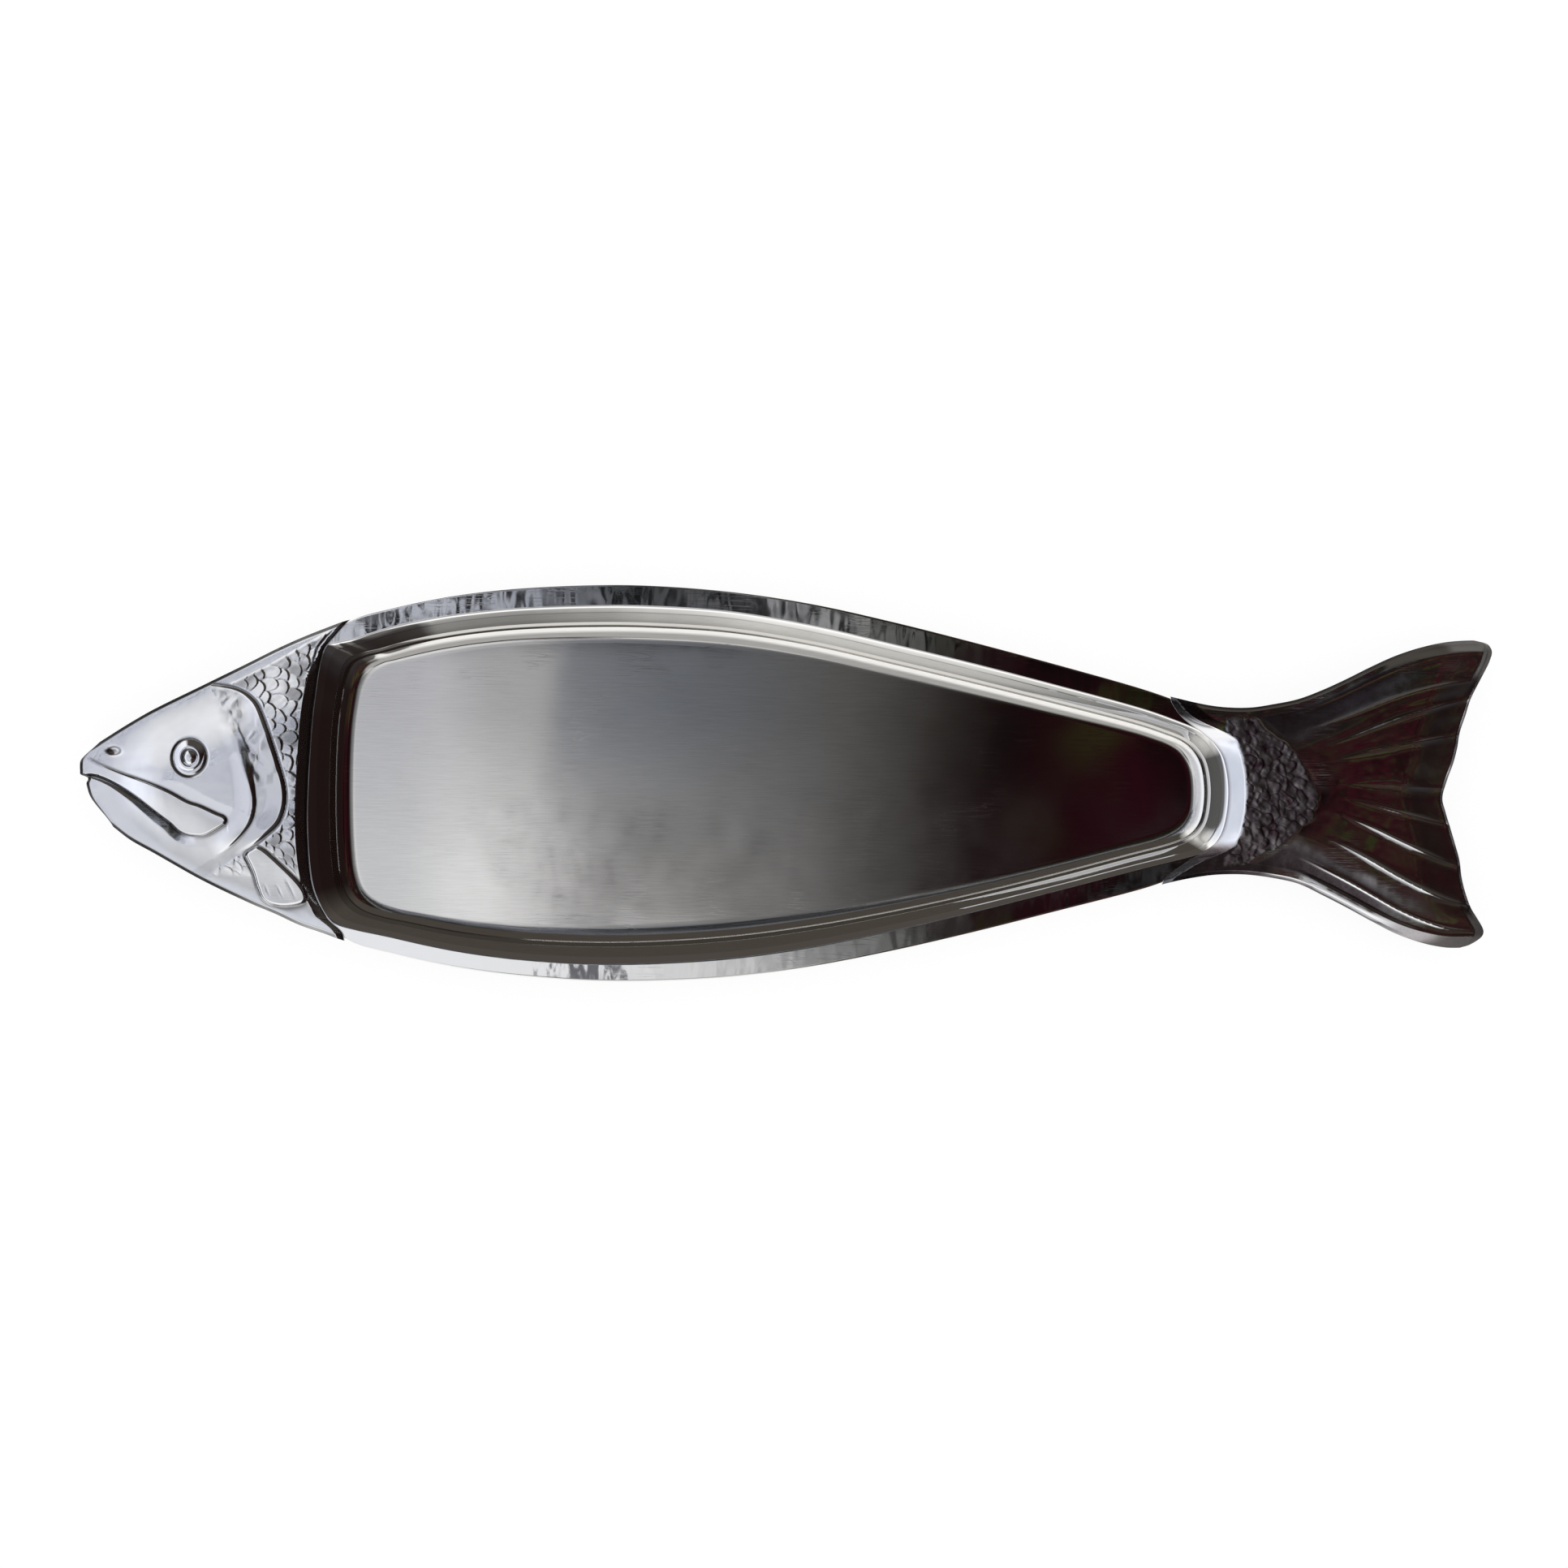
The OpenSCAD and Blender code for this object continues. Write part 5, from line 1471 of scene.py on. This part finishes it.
def level_shades(n, x, u, v, flat, dim):
    """What level mirrors see: bands across v, each a ramp along u whose place noise stirs. The
    belly's half is mottled with fine dark strands, and the tail's end has red and green spots."""
    coarse = n.less(n.noise(flat, 40, 5, 0.65, 0.6), 0.5)
    fine = n.less(n.noise(flat, 150, 3, 0.6), 0.5)
    streaks = n.less(n.noise(n.place(flat, (1, 0.3, 1), 0.3), 240, 4, 0.7), 0.5)
    below = n.fit(v, -0.012, 0.004, 1, 0, True)
    aside = n.plus(n.fit(v, 0.03, 0.036, 0, 0.1), n.fit(v, -0.032, -0.037, 0, 0.06))
    on_rim = n.plus(u, n.times(streaks, aside))
    on_floor = n.plus(u, n.times(coarse, n.fit(below, 0, 1, 0.014, 0.046)),
                      n.times(fine, n.fit(below, 0, 1, 0.006, 0.024)))
    row = n.plus(v, n.times(coarse, 0.006))
    colour = n.brighter(n.ramp(on_rim, OVER_STOPS), n.fit(streaks, -0.05, 0.06, 0.08, 2.3))
    colour = n.mix(n.share(v, 0.0365, 0.0345), colour, n.ramp(on_floor, BACK_STOPS))
    colour = n.mix(n.share(row, 0.018, -0.022), colour, n.ramp(on_floor, BELLY_STOPS))
    mottle = n.times(n.fit(coarse, -0.14, 0.14, -0.3, 0.36), below, n.share(u, -0.09, -0.06))
    colour = n.brighter(colour, n.plus(mottle, 1.0))
    colour = n.mix(n.share(v, -0.037, -0.039), colour, n.ramp(on_rim, UNDER_STOPS))

    beyond = n.times(n.share(v, -0.07, -0.1), n.share(u, -0.12, -0.07))
    clear = n.times(n.fit(x, 0.02, 0.06, 1, 0.04), n.less(1.0, dim))
    dark = n.mix(n.share(n.noise(flat, 7, 2), 0.47, 0.56), *DARK_FIELDS)
    colour = n.mix(beyond, colour, n.mix(clear, dark, PALE_FIELD))
    lines = n.times(strands(n, flat), below, n.fit(v, -0.034, -0.03, 0, 0.5))
    colour = n.mix(n.times(lines, n.share(u, -0.085, -0.06)), colour, STRAND)
    vivid, shade = n.share(u, 0.105, 0.125), n.fit(u, 0.04, 0.1, 0, 0.85)
    red = n.share(n.noise(flat, 20, 3), 0.45, 0.55)
    green = n.share(n.noise(n.place(flat, (1, 1, 1), 1.3), 18, 3), 0.55, 0.6)
    for spots, tints in ((red, RED_SPOTS), (green, GREEN_SPOTS)):
        colour = n.mix(n.times(spots, shade), colour, n.mix(vivid, *tints))
    return colour


def slope_shades(n, x, z, west, south):
    """What slopes see, by the height of their view: a ramp each towards the head and towards the
    belly where those sides are lit, and a dark wall on the other sides."""
    lit_south = n.times(n.share(south, 0.1, 0.5), n.fit(west, -0.34, -0.1, 0.16, 1),
                        n.fit(x, 0.1, 0.125, 1, 0.18))
    lit = n.most(lit_south, n.share(west, 0.33, 0.5))
    flank = n.share(n.math("ABSOLUTE", south), 0.45, 0.9)
    gain = n.plus(n.fit(west, -0.2, -0.08, -0.66, -0.34), n.fit(west, 0, 0.2, 0, 1.55))
    gain = n.plus(n.times(gain, n.fit(z, 0.3, 0.37, 1, 0)), 1.0)
    lower = n.less(z, n.fit(south, -0.1, -0.4, 0, 0.06))
    to_belly = n.brighter(n.ramp(lower, SOUTH_STOPS), gain)
    ring = n.mix(flank, n.ramp(z, WEST_STOPS), to_belly)
    return n.mix(lit, n.mix(n.share(south, -0.3, -0.8), *SHUT_SIDES), ring)


def tent_finish():
    """Reflection tent: bright towards the head and the belly, dark towards the tail and the back,
    and dark near the horizon. It reads its own directions only: x, y and z, and u and v, which
    are x and y over z and tell which part of the platter a level mirror shows it to."""
    material, n, surface = bare_material("tent_print")
    way = n.add("ShaderNodeVectorMath", operation="NORMALIZE")
    n.link(n.object_place(), way.inputs[0])
    x, y, z = n.split(way.outputs["Vector"])
    up = n.most(z, 0.03)
    u, v = (n.math("DIVIDE", k, up) for k in (x, y))
    flat = n.add("ShaderNodeCombineXYZ")
    for value, socket in zip((u, v), flat.inputs):
        n.link(value, socket)
    r = n.most(n.math("SQRT", n.plus(n.times(u, u), n.times(v, v))), 0.001)
    west, south = (n.math("DIVIDE", n.times(k, -1.0), r) for k in (u, v))
    dim = n.times(n.share(x, -0.2, -0.1), n.share(west, 0.3, 0.42))
    level = level_shades(n, x, u, v, flat.outputs[0], dim)
    steep = n.share(n.less(r, n.times(dim, 0.3)), 0.33, 0.5, True)
    glow = n.add("ShaderNodeEmission", Strength=TENT_GAIN)
    n.link(n.mix(steep, level, slope_shades(n, x, z, west, south)), glow.inputs["Color"])
    n.link(glow.outputs[0], surface)
    return material


def make_tent():
    """Half a globe far round the object, which only mirrors see: rings that rise to a tip."""
    turn = 2 * np.pi * np.arange(TENT_SIDES) / TENT_SIDES
    tilt = np.linspace(0, np.pi / 2, TENT_RINGS + 1)[:-1][:, None]
    shape = [np.cos(tilt) * np.cos(turn), np.cos(tilt) * np.sin(turn),
             np.broadcast_to(np.sin(tilt), (TENT_RINGS, TENT_SIDES))]
    points = TENT_R * np.vstack([np.stack(shape, axis=-1).reshape(-1, 3), [[0, 0, 1]]])
    tip = TENT_RINGS * TENT_SIDES
    faces = ring_faces(0, TENT_RINGS, TENT_SIDES).tolist()
    faces += fan_faces(np.arange(tip - TENT_SIDES, tip), tip).tolist()
    tent = flat_stage("reflection_tent", points, faces, tent_finish())
    tent.visible_camera = False
    tent.visible_diffuse = False
    tent.visible_shadow = False


def make_camera():
    """Straight above the platter, as in the photograph, with its slight turn."""
    data = bpy.data.cameras.new("camera")
    data.sensor_width = SENSOR_W
    data.lens = SENSOR_W * CAMERA_WAY / FRAME_W
    data.clip_end = CAMERA_REACH
    camera = bpy.data.objects.new("camera", data)
    camera.location = (*AIM, RIM_Z + CAMERA_WAY)
    camera.rotation_euler = (0, 0, ROLL)
    bpy.context.scene.collection.objects.link(camera)
    bpy.context.scene.camera = camera


make_camera()
set_world()
make_floor()
make_tent()

CAST = cast_finish()
STEEL = steel_finish()
FASTENER = fastener_finish()

make_tray(STEEL)
make_casting("head_casting", "head", HEAD, head_height, HEAD_SLOPE_SHARE, False,
             [eye_shell()] + bosses(HEAD_SCREW_SHARES, HEAD_WELL_X, HEAD_L, -1, HEAD), CAST)
make_casting("tail_casting", "tail", TAIL, tail_height, TAIL_SLOPE_SHARE, True,
             bosses(TAIL_SCREW_SHARES, TAIL_WELL_X, TAIL_L, 1, TAIL), CAST)
for name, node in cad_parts.items():
    if "screw" in name or "washer" in name:
        node.data.materials.clear()
        node.data.materials.append(FASTENER)

bpy.context.scene.view_settings.view_transform = "Standard"
